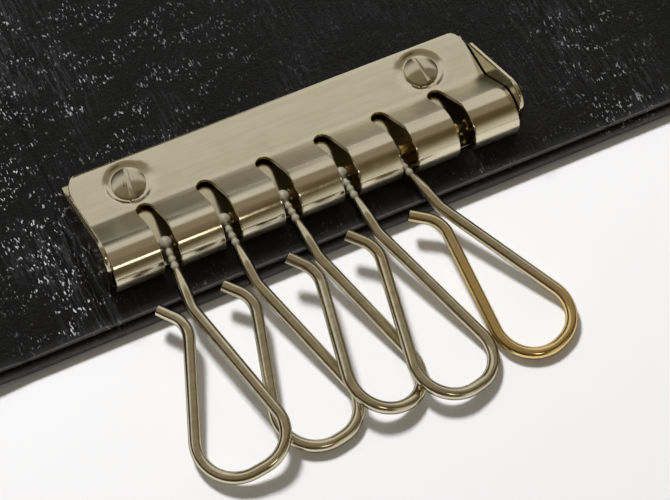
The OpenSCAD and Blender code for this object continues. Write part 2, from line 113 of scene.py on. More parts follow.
class Tree:
    """A shader node tree while it is being filled."""

    def __init__(self, tree: NodeTree) -> None:
        """Start filling a node tree.

        Args:
            tree: The material's, world's or group's own node tree.
        """
        self.tree = tree

    def add(self, kind: str, **settings: object) -> Node:
        """Add a node.

        Args:
            kind: The node's type name after "ShaderNode".
            **settings: Properties to set on it.

        Returns:
            The new node.
        """
        node = self.tree.nodes.new(kind if kind.startswith("Node") else "ShaderNode" + kind)
        for name, value in settings.items():
            setattr(node, name, value)
        return node

    def link(self, source: NodeSocket, target: NodeSocket) -> None:
        """Join an output to an input."""
        self.tree.links.new(source, target)

    def feed(self, socket: NodeSocket, value: object) -> None:
        """Give an input a value, or join an output to it.

        Args:
            socket: The input.
            value: A number, a colour, a vector or an output socket.
        """
        if isinstance(value, NodeSocket):
            self.link(value, socket)
        elif isinstance(value, tuple) and len(value) == 3 and socket.type == "RGBA":
            socket.default_value = (*value, 1.0)
        else:
            socket.default_value = value

    def math(self, operation: str, *values: object, clamp: bool = False) -> NodeSocket:
        """Add a Math node.

        Args:
            operation: The node's operation, such as "MULTIPLY".
            *values: Its inputs, as numbers or outputs.
            clamp: Whether the result is held between 0 and 1.

        Returns:
            Its output.
        """
        node = self.add("Math", operation=operation, use_clamp=clamp)
        for socket, value in zip(node.inputs, values):
            self.feed(socket, value)
        return node.outputs[0]

    def fade(self, value: object, low: float, high: float, to_low: float = 0.0, to_high: float = 1.0) \
            -> NodeSocket:
        """Map a value smoothly from one range to another.

        Args:
            value: The output to map.
            low: The value that gives to_low.
            high: The value that gives to_high.
            to_low: The result at and below low.
            to_high: The result at and above high.

        Returns:
            The mapped output.
        """
        node = self.add("MapRange", interpolation_type="SMOOTHSTEP")
        for socket, number in zip(node.inputs, (value, low, high, to_low, to_high)):
            self.feed(socket, number)
        return node.outputs[0]

    def mix(self, factor: object, first: object, second: object) -> NodeSocket:
        """Mix two colours.

        Args:
            factor: The share of the second colour.
            first: A colour or an output.
            second: A colour or an output.

        Returns:
            The mixed colour.
        """
        node = self.add("Mix", data_type="RGBA", blend_type="MIX")
        self.feed(node.inputs["Factor"], factor)
        self.feed(node.inputs[6], first)
        self.feed(node.inputs[7], second)
        return node.outputs[2]

    def ramp(self, value: object, stops: Sequence[tuple[float, Colour]]) -> NodeSocket:
        """Colour a value by a ramp.

        Args:
            value: The output to colour.
            stops: Places from 0 to 1 with their colours.

        Returns:
            The colour.
        """
        node = self.add("ValToRGB")
        elements = node.color_ramp.elements
        while len(elements) < len(stops):
            elements.new(0.5)
        for element, (place, colour) in zip(elements, stops):
            element.position = place
            element.color = (*colour, 1.0)
        self.feed(node.inputs[0], value)
        return node.outputs[0]

    def noise(self, vector: object, scale: float, detail: float = 2.0, roughness: float = 0.5) \
            -> NodeSocket:
        """Add a noise texture and return its value.

        Args:
            vector: The pattern's coordinates.
            scale: How many features a metre holds.
            detail: Octaves.
            roughness: How strong the finer octaves are.

        Returns:
            The value output.
        """
        node = self.add("TexNoise")
        self.feed(node.inputs["Vector"], vector)
        for name, number in (("Scale", scale), ("Detail", detail), ("Roughness", roughness)):
            node.inputs[name].default_value = number
        return node.outputs[0]

    def scaled(self, vector: object, scale: tuple[float, float, float], turn: float = 0.0) \
            -> NodeSocket:
        """Stretch a pattern's coordinates.

        Args:
            vector: The coordinates.
            scale: The factor along each axis.
            turn: A turn about Z before the scale, in radians.

        Returns:
            The changed coordinates.
        """
        node = self.add("Mapping", vector_type="POINT")
        self.feed(node.inputs["Vector"], vector)
        node.inputs["Rotation"].default_value = (0.0, 0.0, turn)
        node.inputs["Scale"].default_value = scale
        return node.outputs[0]

    def bump(self, shader: Node, height: NodeSocket, distance: float,
             strength: float) -> None:
        """Give a shader a relief.

        Args:
            shader: The shader.
            height: The relief's height, as an output.
            distance: The height of a value of 1, in metres.
            strength: How strongly it shows.
        """
        node = self.add("Bump")
        node.inputs["Strength"].default_value = strength
        node.inputs["Distance"].default_value = distance
        self.feed(node.inputs["Height"], height)
        self.feed(shader.inputs["Normal"], node.outputs["Normal"])

    def group(self, tree: NodeTree, **inputs: object) -> Node:
        """Place a node group.

        Args:
            tree: The group.
            **inputs: Values for its inputs, by name with "_" for a blank.

        Returns:
            The group node.
        """
        node = self.add("Group", node_tree=tree)
        for name, value in inputs.items():
            self.feed(node.inputs[name.replace("_", " ")], value)
        return node


class Effect:
    """A shader node group with a vector input and with float inputs and outputs, built once.

    Attributes:
        name: The group's name.
        inputs: Its float inputs with their values.
        outputs: Its float outputs.
    """

    name: str = ""
    inputs: dict[str, float] = {}
    outputs: tuple[str, ...] = ()

    def __init__(self) -> None:
        """Make the group's tree, with its sockets."""
        self.tree = bpy.data.node_groups.new(self.name, "ShaderNodeTree")
        sockets = self.tree.interface
        sockets.new_socket("Vector", in_out="INPUT", socket_type="NodeSocketVector")
        for label, value in self.inputs.items():
            sockets.new_socket(label, in_out="INPUT", socket_type="NodeSocketFloat").default_value = value
        for label in self.outputs:
            sockets.new_socket(label, in_out="OUTPUT", socket_type="NodeSocketFloat")
        made = Tree(self.tree)
        self.fill(made, made.add("NodeGroupInput"), made.add("NodeGroupOutput"))

    def fill(self, t: Tree, given: Node, result: Node) -> None:
        """Fill the group; each effect does it its own way.

        Args:
            t: The group's tree.
            given: The group's inputs.
            result: The group's outputs.
        """
        raise NotImplementedError


class PebbleGrain(Effect):
    """Fine pebbled leather grain with creases that run along Y, and specks that mark where painted glints go.

    Attributes:
        cell_softness: How far the cells run into each other.
        fine: Scale and share of the fine noise on the pebbles.
        line_stretch: Scales of the noise whose middle gives the crease lines.
        line_turn: Turn of the crease lines, in radians.
        line_half: Half-width of a crease line, in the noise's value.
        line_depth: Depth of a crease against a pebble's height.
        patch_scale: Scale of the patches that are creased.
        speck_stretch: Scales of the painted glint specks.
        speck_patches: Scales of the patches that hold painted glint specks.
    """

    name = "pebble_grain"
    inputs = {"Cells": 2600.0, "Creases": 0.5}
    outputs = ("Height", "Glint", "Crease")
    cell_softness = 0.6
    fine = (9000.0, 0.35)
    line_stretch = (1400.0, 130.0, 1400.0)
    line_turn = 0.06
    line_half = 0.055
    line_depth = 0.8
    patch_scale = 70.0
    speck_stretch = (3600.0, 1500.0, 3600.0)
    speck_patches = (230.0, 520.0, 300.0)

    def fill(self, t: Tree, given: Node, result: Node) -> None:
        """Join a cell pattern, a fine noise and stretched noise lines, and spread the specks for painted
        glints.
        """
        vector = given.outputs["Vector"]
        cells = t.add("TexVoronoi", feature="SMOOTH_F1")
        t.link(vector, cells.inputs["Vector"])
        t.link(given.outputs["Cells"], cells.inputs["Scale"])
        cells.inputs["Smoothness"].default_value = self.cell_softness
        pebble = t.math("SUBTRACT", 1.0, cells.outputs["Distance"])
        scale, share = self.fine
        body = t.math("ADD", pebble, t.math("MULTIPLY", t.noise(vector, scale, 2.0), share))
        lines = t.noise(t.scaled(vector, self.line_stretch, self.line_turn), 1.0, 3.0, 0.55)
        off_line = t.math("ABSOLUTE", t.math("SUBTRACT", lines, 0.5))
        line = t.fade(off_line, 0.0, self.line_half, 1.0, 0.0)
        where = t.fade(t.noise(vector, self.patch_scale, 2.0), 0.42, 0.62)
        crease = t.math("MULTIPLY", t.math("MULTIPLY", line, where), given.outputs["Creases"])
        t.link(t.math("SUBTRACT", body, t.math("MULTIPLY", crease, self.line_depth)), result.inputs["Height"])
        t.link(crease, result.inputs["Crease"])
        # Specks of painted glint: light caught by the grain's tops, painted as a lighter colour.
        specks = t.fade(t.noise(t.scaled(vector, self.speck_stretch), 1.0, 1.0), 0.6, 0.72)
        patches = t.fade(t.noise(t.scaled(vector, self.speck_patches), 1.0, 2.0), 0.46, 0.62)
        t.link(t.math("MULTIPLY", specks, patches), result.inputs["Glint"])


class DrawnStreaks(Effect):
    """Faint streaks that rolling or drawing leaves in plated metal, along one axis of the vector.

    Attributes:
        broad: Scales of the broad streaks.
        fine: Scales of the fine streaks.
        fine_share: The fine streaks' share of the tone.
    """

    name = "drawn_streaks"
    inputs = {"Amount": 0.5}
    outputs = ("Tone", "Height")
    broad = (45.0, 900.0, 900.0)
    fine = (220.0, 6500.0, 6500.0)
    fine_share = 0.3

    def fill(self, t: Tree, given: Node, result: Node) -> None:
        """Stretch two noises along X."""
        vector, amount = given.outputs["Vector"], given.outputs["Amount"]
        broad = t.noise(t.scaled(vector, self.broad), 1.0, 3.0, 0.6)
        fine = t.noise(t.scaled(vector, self.fine), 1.0, 2.0)
        both = t.math("ADD", t.math("MULTIPLY", broad, 1.0 - self.fine_share),
                      t.math("MULTIPLY", fine, self.fine_share))
        centred = t.math("MULTIPLY", t.math("SUBTRACT", both, 0.5), amount)
        t.link(t.math("ADD", centred, 0.5), result.inputs["Tone"])
        t.link(t.math("MULTIPLY", fine, amount), result.inputs["Height"])


class Tarnish(Effect):
    """Soft patches and pin spots of dulled plating.

    Attributes:
        patch_scale: Scale of the patches.
        spot_scale: Scale of the pin spots.
    """

    name = "tarnish"
    inputs = {"Spread": 0.5}
    outputs = ("Mask", "Spots")
    patch_scale = 320.0
    spot_scale = 2400.0

    def fill(self, t: Tree, given: Node, result: Node) -> None:
        """Cut a broad noise and a fine one at the spread."""
        vector, spread_of = given.outputs["Vector"], given.outputs["Spread"]
        patches = t.fade(t.noise(vector, self.patch_scale, 4.0, 0.6), 0.4, 0.75)
        spots = t.fade(t.noise(vector, self.spot_scale, 1.0), 0.7, 0.78)
        t.link(t.math("MULTIPLY", patches, spread_of), result.inputs["Mask"])
        t.link(t.math("MULTIPLY", spots, spread_of), result.inputs["Spots"])


@dataclass
class Effects:
    """The shader groups that the materials share."""

    grain: PebbleGrain = field(default_factory=PebbleGrain)
    streaks: DrawnStreaks = field(default_factory=DrawnStreaks)
    tarnish: Tarnish = field(default_factory=Tarnish)


# Finishes


def blank_material(name: str) -> tuple[Material, Tree, Node]:
    """Make a material with a Principled shader.

    Args:
        name: The material's name.

    Returns:
        The material, its tree and its shader node.
    """
    material = bpy.data.materials.new(name)
    material.use_nodes = True
    return material, Tree(material.node_tree), material.node_tree.nodes["Principled BSDF"]


@dataclass(frozen=True)
class Finish:
    """What every finish has.

    Attributes:
        name: The material's name.
        colour: Its main colour.
    """

    name: str
    colour: Colour

    def material(self, effects: Effects) -> Material:
        """Build the material.

        Args:
            effects: The shared shader groups.

        Returns:
            The material.
        """
        made, t, shader = blank_material(self.name)
        self.fill(effects, t, shader)
        return made

    def fill(self, effects: Effects, t: Tree, shader: Node) -> None:
        """Join the material's nodes; each kind of finish does it its own way.

        Args:
            effects: The shared shader groups.
            t: The material's tree.
            shader: Its shader node.
        """
        raise NotImplementedError


@dataclass(frozen=True)
class LeatherFinish(Finish):
    """Black leather, dyed through; its colour is that of the grain's tops, with painted shade between the
    grains and painted glints.

    Attributes:
        valley_shade: Painted shade between the grains, darker than their tops.
        light: Painted highlight colour of the glinting pebbles and of the front rim's line.
        line: Colour of the creases' edges.
        cells: Grain cells in a metre.
        relief: Height of the grain, in metres.
        creases: Strength of the creases.
        roughness: Roughness of the flat leather.
        glint: How strongly the painted glints on the pebbles show.
        rim: How strongly the painted highlight line along its front rim shows.
        calm: The creases' and the painted glint specks' strength where nothing wears the leather.
        patches: Scale of its matt patches and how far they change the roughness.
        polish: How much smoother the pebbles with painted glints are.
        specular: Level of its reflection.
    """

    valley_shade: Colour
    light: Colour
    line: Colour
    cells: float
    relief: float
    creases: float
    roughness: float
    glint: float
    rim: float = 0.2
    calm: tuple[float, float] = (0.3, 0.04)
    patches: tuple[float, float] = (420.0, 0.24)
    polish: float = 0.2
    specular: float = 0.22

    def fill(self, effects: Effects, t: Tree, shader: Node) -> None:
        """Join the grain, its painted valley shade, its wear, its painted glints and its painted rim line."""
        place = t.add("Attribute", attribute_name="rest_place").outputs["Vector"]
        wear = t.add("Attribute", attribute_name="wear").outputs["Fac"]
        rim = t.add("Attribute", attribute_name="rim").outputs["Fac"]
        creases = t.math("MULTIPLY", t.math("ADD", self.calm[0], wear), self.creases)
        grain = t.group(effects.grain.tree, Vector=place, Cells=self.cells, Creases=creases)
        # Painted shade: the grain's low places take the darker valley colour, as if shaded.
        tops = t.mix(t.fade(grain.outputs["Height"], 0.45, 1.15), self.valley_shade, self.colour)
        lined = t.mix(grain.outputs["Crease"], tops, self.line)
        # Painted glints: specks that the wear mask lets through take the light colour.
        glint = t.math("MULTIPLY", grain.outputs["Glint"], t.math("ADD", self.calm[1], wear), clamp=True)
        shine = t.math("MULTIPLY", glint, self.glint, clamp=True)
        # Painted highlight: the glints and the front rim's line, both mixed in as the light colour.
        polished = t.math("MAXIMUM", shine, t.math("MULTIPLY", rim, self.rim, clamp=True))
        t.feed(shader.inputs["Base Color"], t.mix(polished, lined, self.light))
        scale, swing = self.patches
        matt = t.math("MULTIPLY", t.math("SUBTRACT", t.noise(place, scale, 3.0), 0.5), swing)
        smoother = t.math("MULTIPLY", shine, self.polish)
        rough = t.math("SUBTRACT", t.math("ADD", self.roughness, matt), smoother, clamp=True)
        t.feed(shader.inputs["Roughness"], rough)
        t.bump(shader, grain.outputs["Height"], self.relief, 1.0)
        shader.inputs["Specular IOR Level"].default_value = self.specular


@dataclass(frozen=True)
class PlatedFinish(Finish):
    """Polished plated metal that may be worn to the metal below, with painted shade on sides that face away.

    Attributes:
        dull: Colour of its dulled patches.
        roughness: Roughness of the polished plating.
        streaks: Strength of the drawn streaks.
        spread: How much of it is dulled.
        under: Colour of the metal below the plating.
        metallic: How far it reflects as bare metal; a dull film takes the rest.
        shade: How dark the painted shade on its sides turns, where it faces away.
        side: Colour of the painted shade on those sides.
        away: Facing at which the painted shade on the sides starts, and is darkest.
        satin: How much rougher its satin places are.
        patchy: How much rougher its dulled patches are.
        streaky: How far the streaks change the roughness.
        least: Its least roughness.
        relief: Height and strength of the streaks' relief.
    """

    dull: Colour
    roughness: float
    streaks: float
    spread: float
    under: Colour = BRASS
    metallic: float = 1.0
    shade: float = 0.0
    side: Colour = (0.06, 0.052, 0.036)
    away: tuple[float, float] = (0.55, 0.92)
    satin: float = 0.2
    patchy: float = 0.12
    streaky: float = 0.2
    least: float = 0.05
    relief: tuple[float, float] = (0.004 * MM, 0.35)

    def fill(self, effects: Effects, t: Tree, shader: Node) -> None:
        """Join the plating, its streaks, its dulled patches, its wear and the painted shade on its sides."""
        place = t.add("TexCoord").outputs["Object"]
        wear = t.add("Attribute", attribute_name="wear").outputs["Fac"]
        satin = t.add("Attribute", attribute_name="satin").outputs["Fac"]
        lines = t.group(effects.streaks.tree, Vector=place, Amount=self.streaks)
        dull = t.group(effects.tarnish.tree, Vector=place, Spread=self.spread)
        tone = t.mix(t.fade(lines.outputs["Tone"], 0.3, 0.7), self.dull, self.colour)
        plated = t.mix(wear, t.mix(dull.outputs["Spots"], tone, self.dull), self.under)
        # Painted shade: sides facing away from the view darken to the side colour, and their edge reflection
        # is dimmed.
        if self.shade:
            away = t.fade(t.add("LayerWeight").outputs["Facing"], *self.away, 0.0, self.shade)
            plated = t.mix(away, plated, self.side)
            shader.inputs["Specular Tint"].default_value = (1.0 - self.shade,) * 3 + (1.0,)
        t.feed(shader.inputs["Base Color"], plated)
        patchy = t.math("MULTIPLY", dull.outputs["Mask"], self.patchy)
        streaky = t.math("MULTIPLY", t.math("SUBTRACT", lines.outputs["Tone"], 0.5), self.streaky)
        base = t.math("ADD", self.roughness, t.math("MULTIPLY", satin, self.satin))
        rough = t.math("ADD", base, t.math("ADD", patchy, streaky))
        t.feed(shader.inputs["Roughness"], t.math("MAXIMUM", rough, self.least, clamp=True))
        shader.inputs["Metallic"].default_value = self.metallic
        t.bump(shader, lines.outputs["Height"], *self.relief)


@dataclass(frozen=True)
class BoardFinish(Finish):
    """Pressed paper board.

    Attributes:
        fibre: Colour of its fibres.
        streaks: Strength of its pressing streaks.
        fibre_scale: Scale of the fibres.
        roughness: Least and further roughness.
        relief: Height of the fibres.
    """

    fibre: Colour
    streaks: float = 1.6
    fibre_scale: float = 2600.0
    roughness: tuple[float, float] = (0.7, 0.2)
    relief: float = 0.03 * MM

    def fill(self, effects: Effects, t: Tree, shader: Node) -> None:
        """Join the board, its fibres and its streaks."""
        place = t.add("TexCoord").outputs["Object"]
        lines = t.group(effects.streaks.tree, Vector=place, Amount=self.streaks)
        fleck = t.fade(t.noise(place, self.fibre_scale, 3.0), 0.45, 0.7)
        least, more = self.roughness
        t.feed(shader.inputs["Base Color"], t.mix(fleck, self.colour, self.fibre))
        further = t.math("MULTIPLY", lines.outputs["Tone"], more)
        t.feed(shader.inputs["Roughness"], t.math("ADD", least, further))
        t.bump(shader, fleck, self.relief, 1.0)


FINISHES: tuple[Finish, ...] = (
    LeatherFinish(
        "outer_leather", (0.0095, 0.01, 0.011), valley_shade=(0.004, 0.0042, 0.0045), light=(0.5, 0.5, 0.52),
        line=(0.05, 0.05, 0.052), cells=2300.0, relief=0.07 * MM, creases=0.4, roughness=0.46, glint=0.8),
    LeatherFinish(
        "lining_leather", (0.006, 0.006, 0.0064), valley_shade=(0.002, 0.002, 0.0022), light=(0.6, 0.6, 0.62),
        line=(0.07, 0.07, 0.073), cells=2700.0, relief=0.06 * MM, creases=0.4, roughness=0.44, glint=1.0),
    BoardFinish("board", (0.42, 0.35, 0.24), fibre=(0.3, 0.24, 0.15)),
    PlatedFinish("cover_nickel", NICKEL, NICKEL_DULL, roughness=0.13, streaks=0.8, spread=0.5),
    PlatedFinish("base_nickel", (0.63, 0.575, 0.41), (0.51, 0.45, 0.305), roughness=0.14, streaks=0.5,
                 spread=0.4),
    PlatedFinish("screw_nickel", (0.6, 0.55, 0.41), (0.5, 0.45, 0.32), roughness=0.16, streaks=0.3,
                 spread=0.5),
    PlatedFinish("post_nickel", NICKEL_DULL, (0.4, 0.36, 0.27), roughness=0.3, streaks=0.4, spread=0.6),
    PlatedFinish("axle_steel", (0.3, 0.28, 0.24), (0.2, 0.18, 0.15), roughness=0.3, streaks=0.6,
                 spread=0.6),
    PlatedFinish("sleeve_brass", (0.9, 0.66, 0.2), (0.7, 0.46, 0.12), roughness=0.3, streaks=0.5,
                 spread=0.5),
    PlatedFinish("hook_nickel", NICKEL, HOOK_DULL, roughness=0.12, streaks=0.9, spread=0.7, shade=0.85),
    PlatedFinish("hook_worn", NICKEL, HOOK_DULL, roughness=0.14, streaks=0.9, spread=0.7,
                 under=(0.8, 0.6, 0.27), shade=0.8),
    PlatedFinish("head_nickel", (0.62, 0.58, 0.44), (0.45, 0.41, 0.3), roughness=0.22, streaks=0.5,
                 spread=0.7, metallic=0.4),
    PlatedFinish("snap_nickel", NICKEL, NICKEL_DULL, roughness=0.14, streaks=0.4, spread=0.5),
    PlatedFinish("spring_steel", (0.55, 0.55, 0.54), (0.4, 0.4, 0.4), roughness=0.25, streaks=0.5,
                 spread=0.4),
)


class Wardrobe:
    """Builds each finish once and puts it on pieces."""

    def __init__(self) -> None:
        """Build every material."""
        effects = Effects()
        self.materials = {finish.name: finish.material(effects) for finish in FINISHES}

    def dress(self, piece: Object, slot: str) -> None:
        """Give a piece one finish.

        Args:
            piece: A new piece or a CAD node's object.
            slot: The record's material slot.
        """
        if piece.material_slots:
            piece.material_slots[0].material = self.materials[slot]
            return
        piece.data.materials.append(self.materials[slot])


# Mesh helpers


def finish_piece(bm: BMesh, name: str, sharp: float = 40.0) -> Object:
    """Turn a bmesh into a smooth-shaded object whose place is in its mesh.

    Args:
        bm: The finished bmesh, which is freed.
        name: The piece's name.
        sharp: Edges that turn by more than this many degrees stay sharp.

    Returns:
        The object.
    """
    mesh = bpy.data.meshes.new(name)
    bm.to_mesh(mesh)
    bm.free()
    mesh.shade_smooth()
    mesh.set_sharp_from_angle(angle=math.radians(sharp))
    piece = bpy.data.objects.new(name, mesh)
    bpy.context.scene.collection.objects.link(piece)
    return piece


def add_bevel(piece: Object, width: float, limit: float) -> None:
    """Round a piece's edges with a Bevel modifier.

    Args:
        piece: The piece.
        width: The bevel's width in metres.
        limit: The least turn of an edge that is rounded, in degrees.
    """
    bevel = piece.modifiers.new("edges", "BEVEL")
    bevel.width = width
    bevel.segments = BEVEL_STEPS
    bevel.limit_method = "ANGLE"
    bevel.angle_limit = math.radians(limit)
    bevel.harden_normals = True
    bevel.use_clamp_overlap = True


def set_attribute(piece: Object, name: str, values: list[float]) -> None:
    """Store a number at each vertex.

    Args:
        piece: The piece.
        name: The attribute's name.
        values: The numbers, in the vertices' order.
    """
    piece.data.attributes.new(name, "FLOAT", "POINT").data.foreach_set("value", values)


def sweep(bm: BMesh, count: int, stations: int, closed: bool) -> list[list[BMVert]]:
    """Extrude a row of points again and again; where they lie is left to the caller.

    Args:
        bm: The mesh.
        count: Number of points in a row.
        stations: Number of rows.
        closed: Whether a row's ends are joined.

    Returns:
        The rows.
    """
    row = [bm.verts.new((0.0, 0.0, 0.0)) for _ in range(count)]
    edges = [bm.edges.new(pair) for pair in zip(row, row[1:] + (row[:1] if closed else []))]
    bm.verts.index_update()
    rows = [row]
    for _ in range(stations - 1):
        made = bmesh.ops.extrude_edge_only(bm, edges=edges)["geom"]
        edges = [e for e in made if isinstance(e, BMEdge)]
        rows.append([v for v in made if isinstance(v, BMVert)])
    return rows


def revolve(outline: Sequence[tuple[float, float, float]], axis: tuple[float, float, float], sides: int) \
        -> BMesh:
    """Turn an outline once round an axis through the origin.

    Args:
        outline: The outline's points, from the axis to the axis.
        axis: The axis.
        sides: Faces round it.

    Returns:
        The mesh.
    """
    bm = bmesh.new()
    verts = [bm.verts.new(point) for point in outline]
    edges = [bm.edges.new(pair) for pair in zip(verts, verts[1:])]
    bmesh.ops.spin(bm, geom=verts + edges, cent=(0.0, 0.0, 0.0), axis=axis, angle=2 * math.pi, steps=sides,
                   use_merge=True, use_duplicate=False)
    bmesh.ops.remove_doubles(bm, verts=bm.verts, dist=MERGE)
    return bm


def ease(x: float, low: float, high: float) -> float:
    """Rise smoothly from 0 at low to 1 at high."""
    t = min(max((x - low) / (high - low), 0.0), 1.0)
    return t * t * (3.0 - 2.0 * t)


def bell(x: float, centre: float, width: float) -> float:
    """Rise smoothly to 1 at the centre and fall to 0 at the width on either side."""
    return 1.0 - ease(abs(x - centre), 0.0, width)


def corner_inset(distance: float, radius: float) -> float:
    """How far a rounded corner's outline lies inside its edge.

    Args:
        distance: Distance from the corner's other edge.
        radius: The corner's radius.

    Returns:
        The inset, 0 past the radius.
    """
    if distance >= radius:
        return 0.0
    run = radius - max(distance, 0.0)
    return radius - math.sqrt(radius * radius - run * run)


def spread(start: float, end: float, step: float) -> list[float]:
    """Even stations from start to end, both included, no further apart than step."""
    count = max(1, math.ceil(abs(end - start) / step))
    return [start + (end - start) * i / count for i in range(count + 1)]


# The frame's own measures


class CaseFrame:
    """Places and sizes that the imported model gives."""

    def __init__(self, frame: dict) -> None:
        """Read the measures.
        """
        self.nodes = frame["nodes"]
        self.joints = {joint["name"]: joint for joint in frame["joints"]}
        low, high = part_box("cover_plate")
        self.cover_left, self.cover_right = low.x, high.x
        low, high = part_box("axle")
        self.axle_y, self.axle_z = (low.y + high.y) / 2, (low.z + high.z) / 2
        self.row_x = (low.x + high.x) / 2

    def hinge(self, name: str) -> Vector:
        """The point that a joint turns about."""
        return Vector(self.joints[name]["pos_m"])


# The camera, light and floor


@dataclass(frozen=True)
class Lamp:
    """A rectangular lamp that points at the key row.

    Attributes:
        name: The lamp's name.
        place: Where it hangs, from the camera's aim.
        size: Its width and height.
        power: Its power in watts.
        colour: Its colour.
        mirrored: Whether polished metal shows it.
    """

    name: str
    place: tuple[float, float, float]
    size: tuple[float, float]
    power: float
    colour: Colour
    mirrored: bool


@dataclass(frozen=True)
class DarkPart:
    """A part of the room that is darker than the rest.

    Attributes:
        sideways: The direction's X at which it starts, and at which it is full.
        height: The direction's Z, or turn, at which it starts, and at which it is full.
        turned: Whether the height is a turn round X as a share of half a turn, 0 towards the rear.
        colour: Its colour.
    """

    sideways: tuple[float, float]
    height: tuple[float, float]
    turned: bool
    colour: Colour


@dataclass
class Studio:
    """Pale floor, soft light and the camera.

    Attributes:
        aim: The point on the lining that the camera looks at.
        azimuth: The camera's direction round the case, 0 from the front.
        elevation: The camera's height above the horizon, in degrees.
        distance: Distance from the aim to the camera.
        roll: The camera's turn about its own axis, in degrees.
        lens: Focal length in millimetres for the sensor.
        sensor: Width of the sensor in millimetres.
        clip: Distance from the camera at which its view starts.
        floor_size: Side of the floor.
        floor_drop: How far the floor lies below the case.
        floor_colour: Colour of the floor.
        floor_roughness: Its roughness.
        floor_specular: Level of its reflection.
        glow: Share of white that the camera sees added to it.
        lamps: A large soft lamp that only fills, and a narrow one that the tube mirrors as a line.
        room: Colours round the X axis: 0 at the horizon behind, 0.5 above, 1 at the horizon in front.
        lean: The direction's X at which the room doesn't lean, how far it leans at most, and how strongly.
        front: Turn at which the lean starts, and at which it is full.
        dark_parts: Its dark parts.
        strength: Strength of the room's light, and what mirroring adds to it.
    """

    aim: tuple[float, float, float] = (-6.16 * MM, -50.82 * MM, 2.6 * MM)
    azimuth: float = -32.22
    elevation: float = 61.23
    distance: float = 273.26 * MM
    roll: float = 6.82
    lens: float = 110.8
    sensor: float = 36.0
    clip: float = 10.0 * MM
    floor_size: float = 6.0
    floor_drop: float = 0.02 * MM
    floor_colour: Colour = (0.96, 0.965, 0.98)
    floor_roughness: float = 0.9
    floor_specular: float = 0.1
    glow: float = 0.03
    lamps: tuple[Lamp, ...] = (
        Lamp("soft_fill", (-0.07, 0.41, 0.55), (0.12, 0.12), 4.8, (0.99, 0.99, 1.0), False),
        Lamp("tube_line", (0.06, -0.40, 0.40), (0.10, 0.07), 0.08, (1.0, 0.95, 0.82), True),
    )
    room: tuple[tuple[float, Colour], ...] = (
        (0.0, (0.95, 0.93, 0.89)), (0.045, (0.93, 0.91, 0.875)), (0.12, (0.743, 0.735, 0.717)),
        (0.34, (0.726, 0.717, 0.70)), (0.385, (0.30, 0.257, 0.204)), (0.54, (0.292, 0.248, 0.195)),
        (0.62, (0.142, 0.106, 0.066)), (0.69, (0.106, 0.08, 0.044)), (0.82, (0.106, 0.08, 0.044)),
        (0.90, (0.319, 0.283, 0.23)), (0.96, (0.60, 0.575, 0.513)), (1.0, (0.69, 0.673, 0.62)),
    )
    lean: tuple[float, float, float] = (0.26, 0.12, 0.9)
    front: tuple[float, float] = (0.55, 0.68)
    dark_parts: tuple[DarkPart, ...] = (
        DarkPart((0.285, 0.215), (0.26, 0.09), True, (0.09, 0.08, 0.055)),
        DarkPart((-0.15, -0.5), (0.62, 0.4), False, (0.05, 0.042, 0.03)),
        DarkPart((0.55, 0.8), (0.5, 0.3), False, (0.1, 0.085, 0.06)),
    )
    strength: tuple[float, float] = (0.6, 0.4)

    def build(self) -> None:
        """Make the camera, floor, lamps and world."""
        self.build_camera()
        self.build_floor()
        for lamp in self.lamps:
            self.hang(lamp)
        self.build_world()
        scene = bpy.context.scene
        scene.view_settings.view_transform = "Standard"
        LOG.info("studio ready")

    def build_camera(self) -> None:
        """Place the camera on its line of sight and roll it."""
        camera = bpy.data.objects.new("camera", bpy.data.cameras.new("camera"))
        camera.data.lens = self.lens
        camera.data.sensor_width = self.sensor
        azimuth, elevation = math.radians(self.azimuth), math.radians(self.elevation)
        back = Vector((math.sin(azimuth) * math.cos(elevation), -math.cos(azimuth) * math.cos(elevation),
                       math.sin(elevation)))
        turn = (-back).to_track_quat("-Z", "Y").to_matrix().to_4x4()
        camera.matrix_world = (Matrix.Translation(Vector(self.aim) + back * self.distance) @ turn
                               @ Matrix.Rotation(math.radians(self.roll), 4, "Z"))
        camera.data.clip_start = self.clip
        bpy.context.scene.collection.objects.link(camera)
        bpy.context.scene.camera = camera

    def build_floor(self) -> None:
        """Lay the floor just below the case."""
        bm = bmesh.new()
        bmesh.ops.create_grid(bm, x_segments=2, y_segments=2, size=self.floor_size / 2)
        bmesh.ops.translate(bm, verts=bm.verts, vec=(0.0, 0.0, -self.floor_drop))
        floor = finish_piece(bm, "floor")
        made, t, shader = blank_material("floor")
        shader.inputs["Base Color"].default_value = (*self.floor_colour, 1.0)
        shader.inputs["Roughness"].default_value = self.floor_roughness
        shader.inputs["Specular IOR Level"].default_value = self.floor_specular
        rays = t.add("LightPath")
        seen = t.math("MAXIMUM", rays.outputs["Is Camera Ray"],
                      t.math("MAXIMUM", rays.outputs["Is Glossy Ray"], rays.outputs["Is Transmission Ray"]))
        glow = t.add("Emission")
        glow.inputs["Strength"].default_value = 1.0
        both = t.add("MixShader")
        t.feed(both.inputs[0], t.math("MULTIPLY", seen, self.glow))
        t.feed(both.inputs[1], shader.outputs[0])
        t.feed(both.inputs[2], glow.outputs[0])
        t.feed(made.node_tree.nodes["Material Output"].inputs["Surface"], both.outputs[0])
        floor.data.materials.append(made)

    def hang(self, lamp: Lamp) -> None:
        """Hang a lamp that points at the key row.

        Args:
            lamp: The lamp.
        """
        light = bpy.data.lights.new(lamp.name, "AREA")
        light.shape = "RECTANGLE"
        light.size, light.size_y = lamp.size
        light.energy = lamp.power
        light.color = lamp.colour
        hung = bpy.data.objects.new(lamp.name, light)
        offset = Vector(lamp.place)
        hung.matrix_world = (Matrix.Translation(Vector(self.aim) + offset)
                             @ (-offset).to_track_quat("-Z", "Y").to_matrix().to_4x4())
        hung.visible_glossy = lamp.mirrored
        bpy.context.scene.collection.objects.link(hung)

